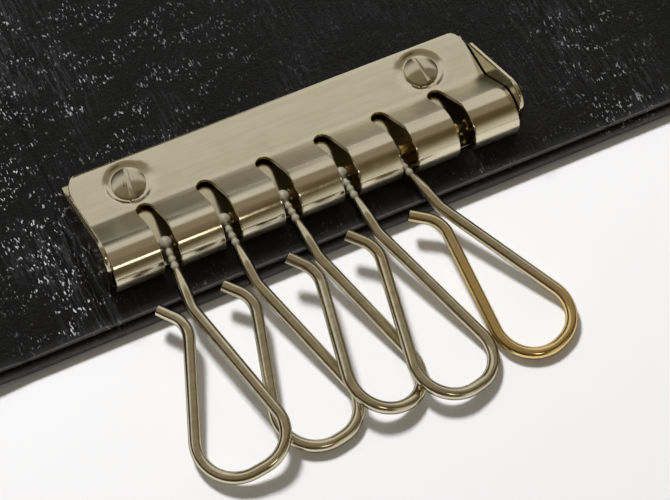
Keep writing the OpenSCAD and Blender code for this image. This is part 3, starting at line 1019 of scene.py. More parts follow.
    def build_world(self) -> None:
        """Light the room: pale behind, warm and dim above the camera, pale again low in front."""
        world = bpy.data.worlds.new("room")
        world.use_nodes = True
        t = Tree(world.node_tree)
        background = world.node_tree.nodes["Background"]
        axes = t.add("SeparateXYZ")
        t.link(t.add("TexCoord").outputs["Generated"], axes.inputs[0])
        x, y, z = axes.outputs
        round_x = t.math("DIVIDE", t.math("ARCTAN2", z, y), math.pi)
        straight, most, amount = self.lean
        lean = t.math("MINIMUM", t.math("MAXIMUM", t.math("SUBTRACT", x, straight), -most), most)
        leaning = t.math("MULTIPLY", t.math("MULTIPLY", lean, amount), t.fade(round_x, *self.front))
        colour = t.ramp(t.math("ADD", round_x, leaning, clamp=True), self.room)
        for part in self.dark_parts:
            height = t.fade(round_x if part.turned else z, *part.height)
            colour = t.mix(t.math("MULTIPLY", t.fade(x, *part.sideways), height), colour, part.colour)
        t.feed(background.inputs["Color"], colour)
        rays = t.add("LightPath")
        plainly, more = self.strength
        mirrored = t.math("MULTIPLY", rays.outputs["Is Glossy Ray"], more)
        t.feed(background.inputs["Strength"], t.math("ADD", mirrored, plainly))
        plain = t.add("Background")
        plain.inputs["Color"].default_value = (1.0, 1.0, 1.0, 1.0)
        both = t.add("MixShader")
        t.feed(both.inputs[0], rays.outputs["Is Camera Ray"])
        t.feed(both.inputs[1], background.outputs[0])
        t.feed(both.inputs[2], plain.outputs[0])
        t.feed(world.node_tree.nodes["World Output"].inputs["Surface"], both.outputs[0])
        bpy.context.scene.world = world


# Leather


@dataclass
class LeatherLayer:
    """One leather of the case: its section and its outline, laid flat.

    Attributes:
        layer: Which leather it is.
        low: Height of its underside.
        high: Height of its top.
        inset: How far its edges lie inside the case's outline.
        edge: Radius of its rounded edges.
        step: Distance between the mesh's rows.
    """

    layer: Layer
    low: float
    high: float
    inset: float
    edge: float
    step: float = 1.1 * MM

    @property
    def slot(self) -> str:
        """The layer's material slot."""
        return f"{self.layer.value}_leather"


@dataclass(frozen=True)
class Swell:
    """A long rise of the lining's top, or a groove in it, beside a fold.

    Attributes:
        height: Its height in millimetres, below 0 for a groove.
        past: Its middle's distance past the fold.
        width: Its half-width.
    """

    height: float
    past: float
    width: float


@dataclass
class FoldSide:
    """Where one side of the case folds.

    Attributes:
        side: Left or right.
        sign: -1 on the left, 1 on the right.
        spine: Distance of the spine's fold from the middle.
        flap: Distance of the flap's fold from the middle.
        width: Width of the flap.
        tilt: Slope of the flap at rest, in radians.
        wrinkle: Height of the wrinkles beside the spine's fold, in millimetres.
        ridges: Rises beside the spine's fold.
    """

    side: Side
    sign: float
    spine: float
    flap: float
    width: float
    tilt: float
    wrinkle: float
    ridges: tuple[Swell, ...] = ()

    @property
    def end(self) -> float:
        """Distance of the flap's outer edge from the middle, with the leather laid flat."""
        return self.flap + self.width


@dataclass
class LeatherCase:
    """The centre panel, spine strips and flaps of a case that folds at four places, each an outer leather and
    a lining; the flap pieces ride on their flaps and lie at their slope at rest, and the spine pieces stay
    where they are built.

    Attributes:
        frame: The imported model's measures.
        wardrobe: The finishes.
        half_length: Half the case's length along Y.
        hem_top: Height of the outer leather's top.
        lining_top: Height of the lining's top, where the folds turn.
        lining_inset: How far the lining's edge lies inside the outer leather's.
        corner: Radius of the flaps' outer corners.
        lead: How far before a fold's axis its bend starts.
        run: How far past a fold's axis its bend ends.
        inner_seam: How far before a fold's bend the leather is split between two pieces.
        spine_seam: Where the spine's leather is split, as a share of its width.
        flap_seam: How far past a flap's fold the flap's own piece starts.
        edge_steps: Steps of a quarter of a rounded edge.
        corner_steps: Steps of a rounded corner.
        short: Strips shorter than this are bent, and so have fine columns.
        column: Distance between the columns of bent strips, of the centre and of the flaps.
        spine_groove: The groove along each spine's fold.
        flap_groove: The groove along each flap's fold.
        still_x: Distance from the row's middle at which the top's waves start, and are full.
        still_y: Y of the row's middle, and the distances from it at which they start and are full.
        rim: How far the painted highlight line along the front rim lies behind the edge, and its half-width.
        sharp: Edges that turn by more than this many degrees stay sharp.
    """

    frame: CaseFrame
    wardrobe: Wardrobe
    half_length: float = 50.0 * MM
    hem_top: float = 1.8 * MM
    lining_top: float = 2.6 * MM
    lining_inset: float = 1.0 * MM
    corner: float = 7.0 * MM
    lead: float = -0.4 * MM
    run: float = 2.5 * MM
    inner_seam: float = -0.45 * MM
    spine_seam: float = 0.5
    flap_seam: float = 3.2 * MM
    edge_steps: int = 5
    corner_steps: int = 24
    short: float = 20.0 * MM
    column: tuple[float, float, float] = (0.3 * MM, 0.8 * MM, 0.9 * MM)
    spine_groove: Swell = Swell(-0.28, 0.55 * MM, 0.9 * MM)
    flap_groove: Swell = Swell(-0.22, 0.3 * MM, 1.2 * MM)
    still_x: tuple[float, float] = (31.2 * MM, 36.0 * MM)
    still_y: tuple[float, float, float] = (-35.5 * MM, 9.5 * MM, 14.0 * MM)
    rim: tuple[float, float] = (0.15 * MM, 0.3 * MM)
    sharp: float = 60.0

    def __post_init__(self) -> None:
        """Take the folds' places from the joints and keep the two layers and sides."""
        left_spine, left_flap = (-self.frame.hinge(n).x for n in ("left_spine_fold", "left_flap_fold"))
        right_spine, right_flap = (self.frame.hinge(n).x for n in ("right_spine_fold", "right_flap_fold"))
        self.sides = (
            FoldSide(Side.LEFT, -1.0, left_spine, left_flap, 56.0 * MM, math.radians(4.4), 0.05,
                     (Swell(0.1, -0.2 * MM, 0.35 * MM), Swell(0.12, 2.2 * MM, 1.5 * MM))),
            FoldSide(Side.RIGHT, 1.0, right_spine, right_flap, 54.0 * MM, math.radians(1.4), 0.11),
        )
        self.layers = (
            LeatherLayer(Layer.OUTER, 0.0, self.hem_top, 0.0, 0.85 * MM),
            LeatherLayer(Layer.LINING, self.hem_top, self.lining_top, self.lining_inset, 0.38 * MM),
        )

    def build(self) -> None:
        """Build the fourteen leather pieces and dress the boards."""
        for layer in self.layers:
            first, second = (side.sign * (side.spine + self.inner_seam) for side in self.sides)
            centre = self.build_strip(f"{layer.layer.value}_centre", layer, first, second, None)
            self.settle(centre, layer)
            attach(centre, "case_back")
            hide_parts("outer_leather_back" if layer.layer is Layer.OUTER else "lining_back")
            for side in self.sides:
                self.build_side(layer, side)
        for name in ("stiffener_back", "left_flap_stiffener", "right_flap_stiffener"):
            self.wardrobe.dress(self.frame.nodes[name], "board")
        LOG.info("leather ready")

    def build_side(self, layer: LeatherLayer, side: FoldSide) -> None:
        """Build one layer's two halves of a spine strip and its flap.

        Args:
            layer: The leather.
            side: The side of the case.
        """
        word, kind = side.side.value, "leather" if layer.layer is Layer.OUTER else "lining"
        label = f"{layer.layer.value}_{word}"
        seams = (side.spine + self.inner_seam, side.spine + (side.flap - side.spine) * self.spine_seam,
                 side.flap + self.flap_seam, side.end - layer.inset)
        spine_node, flap_node = f"{word}_spine_{kind}", f"{word}_flap_{kind}"
        folds = ((side.spine, "case_back", f"{word}_spine"), (side.flap, f"{word}_spine", f"{word}_flap"))
        for number, (at, first, second) in enumerate(folds):
            near, far = seams[number], seams[number + 1]
            name = f"{label}_fold_{number + 1}"
            half = self.build_strip(name, layer, side.sign * near, side.sign * far, None)
            self.settle(half, layer)
            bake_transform(half)
            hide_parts(spine_node, *((flap_node,) if number else ()))
        flap = self.build_strip(f"{label}_flap", layer, side.sign * seams[2], side.sign * seams[3], side)
        self.settle(flap, layer)
        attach(flap, f"{word}_flap")
        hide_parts(flap_node)

    def section(self, layer: LeatherLayer) -> list[tuple[float, float, float]]:
        """The layer's closed section, from the front edge over the top to the rear and back below.

        Args:
            layer: The leather.

        Returns:
            For each point: the share of the straight length, the outward and the upward part of its edge
            rounding.
        """
        rows = spread(-1.0, 1.0, layer.step / self.half_length)
        turns = [math.radians(90.0 * i / self.edge_steps) for i in range(1, self.edge_steps + 1)]
        top = [(share, 0.0, 1.0) for share in rows]
        rear = [(1.0, math.sin(a), math.cos(a)) for a in turns]
        below = [(1.0, math.sin(a), -math.cos(a)) for a in reversed(turns[:-1])]
        bottom = [(share, 0.0, -1.0) for share in reversed(rows)]
        front = [(-1.0, -math.sin(a), -math.cos(a)) for a in turns]
        above = [(-1.0, -math.sin(a), math.cos(a)) for a in reversed(turns[:-1])]
        return top + rear + below + bottom + front + above

    def columns(self, near: float, far: float, side: FoldSide | None, inset: float) -> list[float]:
        """Stations across the case.

        Args:
            near: Where the strip starts.
            far: Where it ends.
            side: The side whose outer edge closes the strip, if one does.
            inset: How far the layer's edge lies inside the outline.

        Returns:
            The stations.
        """
        bent, centre, flap = self.column
        if side is None:
            return spread(near, far, bent if abs(far - near) < self.short else centre)
        corner = self.corner - inset
        straight = far - side.sign * corner
        turns = [math.radians(90.0 * i / self.corner_steps) for i in range(1, self.corner_steps + 1)]
        return spread(near, straight, flap) + [straight + side.sign * corner * math.sin(a) for a in turns]

    def build_strip(self, name: str, layer: LeatherLayer, near: float, far: float, side: FoldSide | None) \
            -> Object:
        """Sweep the layer's section across the case and bring each point to its place.

        Args:
            name: The piece's name.
            layer: The leather.
            near: Where the strip starts.
            far: Where it ends.
            side: The side whose outer edge closes the strip, if one does.

        Returns:
            The piece.
        """
        section, stations = self.section(layer), self.columns(near, far, side, layer.inset)
        bm = bmesh.new()
        flat = bm.verts.layers.float_vector.new("rest_place")
        rings = sweep(bm, len(section), len(stations), True)
        for station, verts in zip(stations, rings):
            depth, width = self.outline(layer, station, side)
            for vert, (share, out, up) in zip(verts, section):
                point = self.flat_point(layer, station, share, out, up, depth, width)
                vert[flat] = point
                vert.co = self.fold_place(point)
        ends = [e for e in bm.edges if e.is_boundary]
        bmesh.ops.holes_fill(bm, edges=ends, sides=0)
        if side is not None:
            bmesh.ops.remove_doubles(bm, verts=bm.verts, dist=WIDE_MERGE)
        bmesh.ops.recalc_face_normals(bm, faces=bm.faces)
        return finish_piece(bm, name, self.sharp)

    def outline(self, layer: LeatherLayer, station: float, side: FoldSide | None) -> tuple[float, float]:
        """The strip's half-length and thickness share at a station.

        Args:
            layer: The leather.
            station: The place across the case.
            side: The side whose outer edge closes the strip, if one does.

        Returns:
            The half-length and the share of the full thickness.
        """
        half = self.half_length - layer.inset
        if side is None:
            return half, 1.0
        left_over = max(side.end - layer.inset - abs(station), 0.0)
        into = 1.0 - min(left_over / layer.edge, 1.0)
        rounding = corner_inset(left_over, self.corner - layer.inset)
        return half - rounding, math.sqrt(max(1.0 - into * into, 0.0))

    def flat_point(self, layer: LeatherLayer, station: float, share: float, out: float, up: float,
                   half: float, thick: float) -> Vector:
        """A point of the layer as it lies flat, with the hand's small unevenness on its top.

        Args:
            layer: The leather.
            station: The place across the case.
            share: Share of the straight length.
            out: Outward part of the edge rounding.
            up: Upward part of the edge rounding.
            half: Half-length at this station.
            thick: Share of the full thickness at this station.

        Returns:
            The point.
        """
        middle, rise = (layer.low + layer.high) / 2, (layer.high - layer.low) / 2 * thick
        edge = min(layer.edge, rise)
        y = share * (half - edge) + out * edge
        z = middle + math.copysign(rise - edge, up) + up * edge if abs(out) < 1.0 else middle
        if up > 0.0:
            z += self.unevenness(layer, station, y) * thick
        return Vector((station, y, z))

    def unevenness(self, layer: LeatherLayer, x: float, y: float) -> float:
        """Small rises and hollows of the lining's top: waves, grooves at the folds, wrinkles beside them.

        Args:
            layer: The leather.
            x: Place across the case.
            y: Place along it.

        Returns:
            The height to add.
        """
        if layer.layer is Layer.OUTER:
            return 0.0
        middle, *still_y = self.still_y
        calm = 1.0 - (1.0 - ease(abs(x - self.frame.row_x), *self.still_x)) \
            * (1.0 - ease(abs(y - middle), *still_y))
        waves = 0.05 * math.sin(x / MM * 0.31 + 1.3 * math.sin(y / MM * 0.11)) \
            + 0.04 * math.sin(y / MM * 0.23 + x / MM * 0.07 + 0.6)
        height = waves * calm
        for side in self.sides:
            past, past_flap = side.sign * x - side.spine, side.sign * x - side.flap
            swells = [(self.spine_groove, past), (self.flap_groove, past_flap)]
            for swell, place in swells + [(ridge, past) for ridge in side.ridges]:
                height += swell.height * bell(place, swell.past, swell.width)
            wrinkle = bell(past, 4.5 * MM, 7.5 * MM) * (0.55 + 0.45 * math.sin(y / MM * 0.17 + 0.8))
            phase = past / MM * 3.4 + 1.7 * math.sin(y / MM * 0.26 + past / MM * 0.3) + 0.05 * y / MM
            height += side.wrinkle * wrinkle * math.sin(phase)
        return height * MM

    def fold_place(self, point: Vector) -> Vector:
        """Bring a point of the flat case to its place at rest, where each flap lies at its slope."""
        for side in self.sides:
            past = side.sign * point.x - side.flap
            if past <= self.lead:
                continue
            angle = side.tilt * ease(past, self.lead, self.run) * side.sign
            hinge = Vector((side.sign * side.flap, 0.0, self.lining_top))
            return hinge + Matrix.Rotation(-angle, 3, "Y") @ (point - hinge)
        return point

    def settle(self, piece: Object, layer: LeatherLayer) -> None:
        """Give a leather piece its wear, which also places its painted glints, its painted rim line and its
        finish.

        Args:
            piece: The piece.
            layer: The leather.
        """
        places = [Vector(v.vector) for v in piece.data.attributes["rest_place"].data]
        set_attribute(piece, "wear", [self.wear(layer, p) for p in places])
        # Painted highlight line along the top of each layer's front rim, stored as the rim attribute.
        behind, width = self.rim
        front = layer.inset + behind - self.half_length
        set_attribute(piece, "rim", [
            bell(p.y, front, width) * ease(p.z, layer.low, layer.high) for p in places])
        self.wardrobe.dress(piece, layer.slot)

    def wear(self, layer: LeatherLayer, p: Vector) -> float:
        """How creased the leather is and how many painted glints it shows: most beside the folds and along
        the edges.

        Args:
            layer: The leather.
            p: The place with the case laid flat.

        Returns:
            A share from 0 to 1.
        """
        left, right = self.sides
        beside_left = bell(-p.x - left.spine, 5.0 * MM, 9.0 * MM)
        beside_right = 0.55 * bell(p.x - right.spine, 5.0 * MM, 10.0 * MM)
        front = 0.1 * (1.0 - ease(p.y + self.half_length, 2.0 * MM, 5.0 * MM))
        rear = 0.35 * ease(p.y, self.half_length - 5.0 * MM, self.half_length - 1.0 * MM)
        # The upper left gets more creases and more painted glint specks.
        upper_left = (0.55 if layer.layer is Layer.LINING else 0.15) * ease(-p.x, -8.0 * MM, 30.0 * MM) \
            * ease(p.y, -31.0 * MM, -22.0 * MM)
        return min(1.0, max(beside_left, beside_right, front, rear, upper_left))


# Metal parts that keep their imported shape, with softened edges


def softened(node: Object, name: str, width: float, sharp: float, flat: float) -> Object:
    """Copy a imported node's mesh, merge its triangles into whole faces and round its edges.

    Args:
        node: The CAD node's object.
        name: The new piece's name.
        width: Width of the rounded edges.
        sharp: Least turn of an edge that is rounded, in degrees.
        flat: Turn below which two triangles are of one face, in degrees.

    Returns:
        The new piece.
    """
    bm = bmesh.new()
    bm.from_mesh(node.data)
    for layer in list(bm.loops.layers.float_vector):
        bm.loops.layers.float_vector.remove(layer)
    bmesh.ops.remove_doubles(bm, verts=bm.verts, dist=MERGE)
    bmesh.ops.dissolve_limit(bm, angle_limit=math.radians(flat), verts=bm.verts, edges=bm.edges)
    piece = finish_piece(bm, name, sharp)
    add_bevel(piece, width, sharp)
    return piece


@dataclass
class CoverPlate:
    """The row's cover: one sheet with a flat screwed plate, a ramp and a rolled, slotted front.

    Attributes:
        frame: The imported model's measures.
        tube: Outer radius of the rolled front.
        sheet: Thickness of the sheet.
        plate_z: Height of the flat plate.
        skirt_z: Height of the bent-down rear edge's foot.
        rear: Distance from the axle to the rear edge.
        slope: Slope of the ramp, in radians.
        hollow: Radius between ramp and plate.
        bend: Radius of the rear edge's bend.
        curl: Angle at which the rolled front ends, in radians.
        corner: Radius of the rear corners in plan.
        corner_steps: Steps of those corners.
        pitch: Distance between neighbouring slots.
        slots: Number of slots.
        slot_half: Half a slot's width.
        slot_rear: Distance from the axle to a slot's rear end.
        tongue: Radius of the corners beside a slot's open front.
        tongue_shares: Places of the columns across such a corner, as shares of its radius.
        slot_shares: Places of the columns across half a slot, as shares of its half-width.
        screw: Each screw's distance from the row's middle and from the axle.
        dish: Radii of a dish's floor and rim.
        dish_room: How far past a dish's rim the columns and the rows lie close together.
        dish_depth: Depth of the dishes.
        hole: Radius of the screw holes.
        turn_step: Turn of the rolled front in one row, in radians.
        bend_step: Turn of the rear edge's bend in one row, in radians.
        fine: Row and column step at the dishes.
        coarse: Column step elsewhere.
        row_steps: Row steps on the plate before and behind the dishes, and on the skirt.
        least: Least distance between two columns that are placed.
        edge: Width of the sheet's rounded edges.
        sharp: Least turn of an edge that is rounded, in degrees.
        rub: Strength and width of the wear along the slots' rims.
    """

    frame: CaseFrame
    tube: float = 3.6 * MM
    sheet: float = 0.5 * MM
    plate_z: float = 4.4 * MM
    skirt_z: float = 2.7 * MM
    rear: float = 15.0 * MM
    slope: float = math.radians(39.0)
    hollow: float = 2.0 * MM
    bend: float = 0.8 * MM
    curl: float = math.radians(219.0)
    corner: float = 2.5 * MM
    corner_steps: int = 8
    pitch: float = 8.7 * MM
    slots: int = 6
    slot_half: float = 1.2 * MM
    slot_rear: float = 7.0 * MM
    tongue: float = 0.7 * MM
    tongue_shares: tuple[float, ...] = (0.0, 0.17, 0.36, 0.57, 0.79, 1.0)
    slot_shares: tuple[float, ...] = (0.0, 0.3, 0.55, 0.75, 0.9, 1.0)
    screw: tuple[float, float] = (22.0 * MM, 10.7 * MM)
    dish: tuple[float, float] = (2.65 * MM, 3.45 * MM)
    dish_room: tuple[float, float] = (0.3 * MM, 0.4 * MM)
    dish_depth: float = 0.3 * MM
    hole: float = 1.15 * MM
    turn_step: float = math.radians(5.0)
    bend_step: float = math.radians(11.0)
    fine: float = 0.19 * MM
    coarse: float = 0.6 * MM
    row_steps: tuple[float, float, float] = (0.4 * MM, 0.2 * MM, 0.3 * MM)
    least: float = 0.03 * MM
    edge: float = 0.07 * MM
    sharp: float = 50.0
    rub: tuple[float, float] = (0.7, 0.22 * MM)

    def build(self) -> Object:
        """Build the cover.

        Returns:
            The cover, with the wear of its slots' edges stored at each point.
        """
        profile = self.profile()
        middle = self.split_row(profile)
        columns = self.columns()
        bm = bmesh.new()
        lines = sweep(bm, len(profile), len(columns), False)
        for x, verts in zip(columns, lines):
            for vert, point in zip(verts, self.column_points(x, profile, middle)):
                vert.co = Vector((self.frame.row_x + x, point.x, point.y))
        self.cut_slots(bm, lines, middle)
        self.press_dishes(bm)
        bmesh.ops.recalc_face_normals(bm, faces=bm.faces)
        if sum(f.normal.z * f.calc_area() for f in bm.faces) < 0.0:
            bmesh.ops.reverse_faces(bm, faces=bm.faces)
        piece = finish_piece(bm, "cover_sheet", 35.0)
        set_attribute(piece, "wear", [self.wear(v.co) for v in piece.data.vertices])
        set_attribute(piece, "satin", [self.satin(v.co) for v in piece.data.vertices])
        wall = piece.modifiers.new("wall", "SOLIDIFY")
        wall.thickness = self.sheet
        wall.offset = -1.0
        add_bevel(piece, self.edge, self.sharp)
        piece.modifiers["edges"].use_clamp_overlap = False
        piece.modifiers["edges"].loop_slide = False
        return piece

    def profile(self) -> Profile:
        """The sheet's upper line from the curled front to the skirt's foot.

        Returns:
            Each point's distance behind the axle along the sheet's order, and its (Y, Z) place.
        """
        axle = Vector((self.frame.axle_y, self.frame.axle_z))
        top_angle = math.pi / 2 - self.slope
        points = [axle + self.tube * Vector((math.cos(a), math.sin(a)))
                  for a in spread(self.curl, top_angle, self.turn_step)]
        down = Vector((math.cos(self.slope), -math.sin(self.slope)))
        top = points[-1]
        foot = top + down * ((top.y - self.plate_z) / math.sin(self.slope))
        run = self.hollow * math.tan(self.slope / 2)
        ramp_end = foot - down * run
        points += [top.lerp(ramp_end, share) for share in spread(0.0, 1.0, 0.2)[1:]]
        centre = Vector((foot.x + run, self.plate_z + self.hollow))
        points += [centre + self.hollow * Vector((math.sin(a), -math.cos(a)))
                   for a in spread(-self.slope, 0.0, 2.0 * self.turn_step)[1:]]
        before_dish, behind_dish, on_skirt = self.row_steps
        reach = self.dish[1] + self.dish_room[1]
        low, high = (self.frame.axle_y + self.screw[1] + side * reach for side in (-1.0, 1.0))
        bend_y = self.frame.axle_y + self.rear - self.bend
        high = min(high, bend_y - self.fine)
        here = points[-1].x
        low = max(low, here + self.fine)
        stations = spread(here, low, before_dish)[1:] + spread(low, high, self.fine)[1:] \
            + spread(high, bend_y, behind_dish)[1:]
        points += [Vector((y, self.plate_z)) for y in stations]
        bend = Vector((bend_y, self.plate_z - self.bend))
        points += [bend + self.bend * Vector((math.sin(a), math.cos(a)))
                   for a in spread(0.0, math.pi / 2, self.bend_step)[1:]]
        points += [Vector((points[-1].x, z)) for z in spread(points[-1].y, self.skirt_z, on_skirt)[1:]]
        lengths = [0.0]
        for before, after in zip(points, points[1:]):
            lengths.append(lengths[-1] + (after - before).length)
        return list(zip(lengths, points))

    def split_row(self, profile: Profile) -> int:
        """The row nearest to where the slots' straight sides end."""
        target = self.frame.axle_y + self.slot_rear - self.slot_half
        after_top = [i for i, (_, p) in enumerate(profile) if p.x > self.frame.axle_y]
        return min(after_top, key=lambda i: abs(profile[i][1].x - target))

    def at(self, profile: Profile, length: float) -> Vector:
        """The profile's point at a length along it."""
        for (l0, p0), (l1, p1) in zip(profile, profile[1:]):
            if length <= l1:
                return p0.lerp(p1, (length - l0) / max(l1 - l0, NO_AREA))
        return profile[-1][1]

    def length_at_y(self, profile: Profile, y: float) -> float:
        """The length along the profile at which it passes a place behind the axle."""
        for (l0, p0), (l1, p1) in zip(profile, profile[1:]):
            if p0.x > self.frame.axle_y and p0.x <= y <= p1.x and p1.x > p0.x:
                return l0 + (l1 - l0) * (y - p0.x) / (p1.x - p0.x)
        return profile[-1][0]

    def from_slot(self, x: float) -> float:
        """Distance from the nearest slot's middle, for a place along the row."""
        return min(abs(x - self.slot_x(k)) for k in range(self.slots))

    def slot_x(self, number: int) -> float:
        """A slot's place along the row, from its middle; the first slot is number 0."""
        return self.pitch * (number - (self.slots - 1) / 2)

    def columns(self) -> list[float]:
        """Places of the columns along the row, closer together at the slots, corners and dishes."""
        half = (self.frame.cover_right - self.frame.cover_left) / 2
        corner = [self.tongue * share for share in self.tongue_shares]
        places = {-half, half}
        for step in corner:
            places |= {-half + step, half - step}
        for k in range(self.slots):
            for share in self.slot_shares:
                places |= {self.slot_x(k) + share * self.slot_half, self.slot_x(k) - share * self.slot_half}
            for step in corner:
                places |= {self.slot_x(k) + self.slot_half + step, self.slot_x(k) - self.slot_half - step}
        for i in range(1, self.corner_steps + 1):
            inset = self.corner * (1.0 - math.cos(math.radians(90.0 * i / self.corner_steps)))
            if inset > self.tongue * 1.1:
                places |= {-half + inset, half - inset}
        ordered = sorted(places)
        merged = [ordered[0]]
        for place in ordered[1:]:
            if place - merged[-1] > self.least:
                merged.append(place)
        filled = [merged[0]]
        for place in merged[1:]:
            off = abs(abs((place + filled[-1]) / 2) - self.screw[0])
            near_dish = off < self.dish[1] + self.dish_room[0]
            filled += spread(filled[-1], place, self.fine if near_dish else self.coarse)[1:]
        return filled

    def column_points(self, x: float, profile: Profile, middle: int) -> list[Vector]:
        """The points of one column, as (Y, Z).

        Args:
            x: The column's place along the row, from its middle.
            profile: The whole profile.
            middle: The row that bounds the slots.

        Returns:
            One point for each row.
        """
        half = (self.frame.cover_right - self.frame.cover_left) / 2
        off = self.from_slot(x)
        free = self.tongue
        if off >= self.slot_half - 0.01 * MM:
            free = min(max(off - self.slot_half, 0.0), half - abs(x))
        start = corner_inset(free, self.tongue)
        split_y = self.frame.axle_y + self.slot_rear - self.slot_half
        if off < self.slot_half:
            split_y += math.sqrt(self.slot_half ** 2 - off ** 2)
        split = self.length_at_y(profile, split_y)
        inset = corner_inset(half - abs(x), self.corner)
        rear_y = self.frame.axle_y + self.rear
        bend_end = self.length_at_y(profile, rear_y - MERGE)
        plate_end = bend_end if inset <= 0.0 else self.length_at_y(profile, rear_y - max(inset, MERGE))
        base_split = profile[middle][0]
        points = []
        for index, (length, _) in enumerate(profile):
            if index <= middle:
                points.append(self.at(profile, start + (split - start) * length / base_split))
            elif length <= bend_end + 1e-9:
                own = split + (plate_end - split) * (length - base_split) / (bend_end - base_split)
                points.append(self.at(profile, own))
            else:
                points.append(self.at(profile, length if inset <= 0.0 else plate_end))
        return points

    def cut_slots(self, bm: BMesh, lines: list[list[BMVert]], middle: int) -> None:
        """Delete the faces inside the slots and what is left of the skirt at the corners.

        Args:
            bm: The cover's mesh.
            lines: The columns' points.
            middle: The row that bounds the slots.
        """
        front = {v for line in lines for v in line[:middle + 1]}
        doomed = []
        for face in bm.faces:
            x = face.calc_center_median().x - self.frame.row_x
            inside = self.from_slot(x) < self.slot_half and all(v in front for v in face.verts)
            if inside or face.calc_area() < NO_AREA:
                doomed.append(face)
        bmesh.ops.delete(bm, geom=doomed, context="FACES")
        bmesh.ops.remove_doubles(bm, verts=bm.verts, dist=WIDE_MERGE)

    def press_dishes(self, bm: BMesh) -> None:
        """Sink the dishes round the screws and open the screw holes.

        Args:
            bm: The cover's mesh.
        """
        for side in (-1.0, 1.0):
            centre = Vector((self.frame.row_x + side * self.screw[0], self.frame.axle_y + self.screw[1]))
            for vert in bm.verts:
                if vert.co.z > self.plate_z - 0.01 * MM:
                    away = (vert.co.xy - centre).length
                    if away < self.dish[1]:
                        vert.co.z -= self.dish_depth * (1.0 - ease(away, *self.dish))
            doomed = [f for f in bm.faces if (f.calc_center_median().xy - centre).length < self.hole]
            bmesh.ops.delete(bm, geom=doomed, context="FACES")
            for vert in bm.verts:
                away = vert.co.xy - centre
                if vert.is_boundary and away.length < self.hole * 1.3:
                    vert.co.xy = centre + away.normalized() * self.hole

    def wear(self, p: Vector) -> float:
        """Brass that shows a little at the slots' rear ends."""
        x, y = p.x - self.frame.row_x, p.y - self.frame.axle_y
        off, past = self.from_slot(x), max(y - self.slot_rear + self.slot_half, 0.0)
        strength, width = self.rub
        at_rim = 1.0 - ease(abs(math.hypot(off, past) - self.slot_half), 0.0, width)
        return strength * at_rim * bell(y, self.slot_rear - 0.4 * self.slot_half, 1.3 * MM)

    def satin(self, p: Vector) -> float:
        """How far the polish is dulled: on the ramp and on the rolled front's lower lip."""
        y, z = p.y - self.frame.axle_y, p.z - self.frame.axle_z
        ramp = ease(y, 0.25 * self.tube, 0.6 * self.tube) * (1.0 - ease(y, 1.65 * self.tube, 2.0 * self.tube))
        return max(ramp, 0.0 if y > 0.0 else 1.0 - ease(z, 0.0, 0.4 * self.tube))


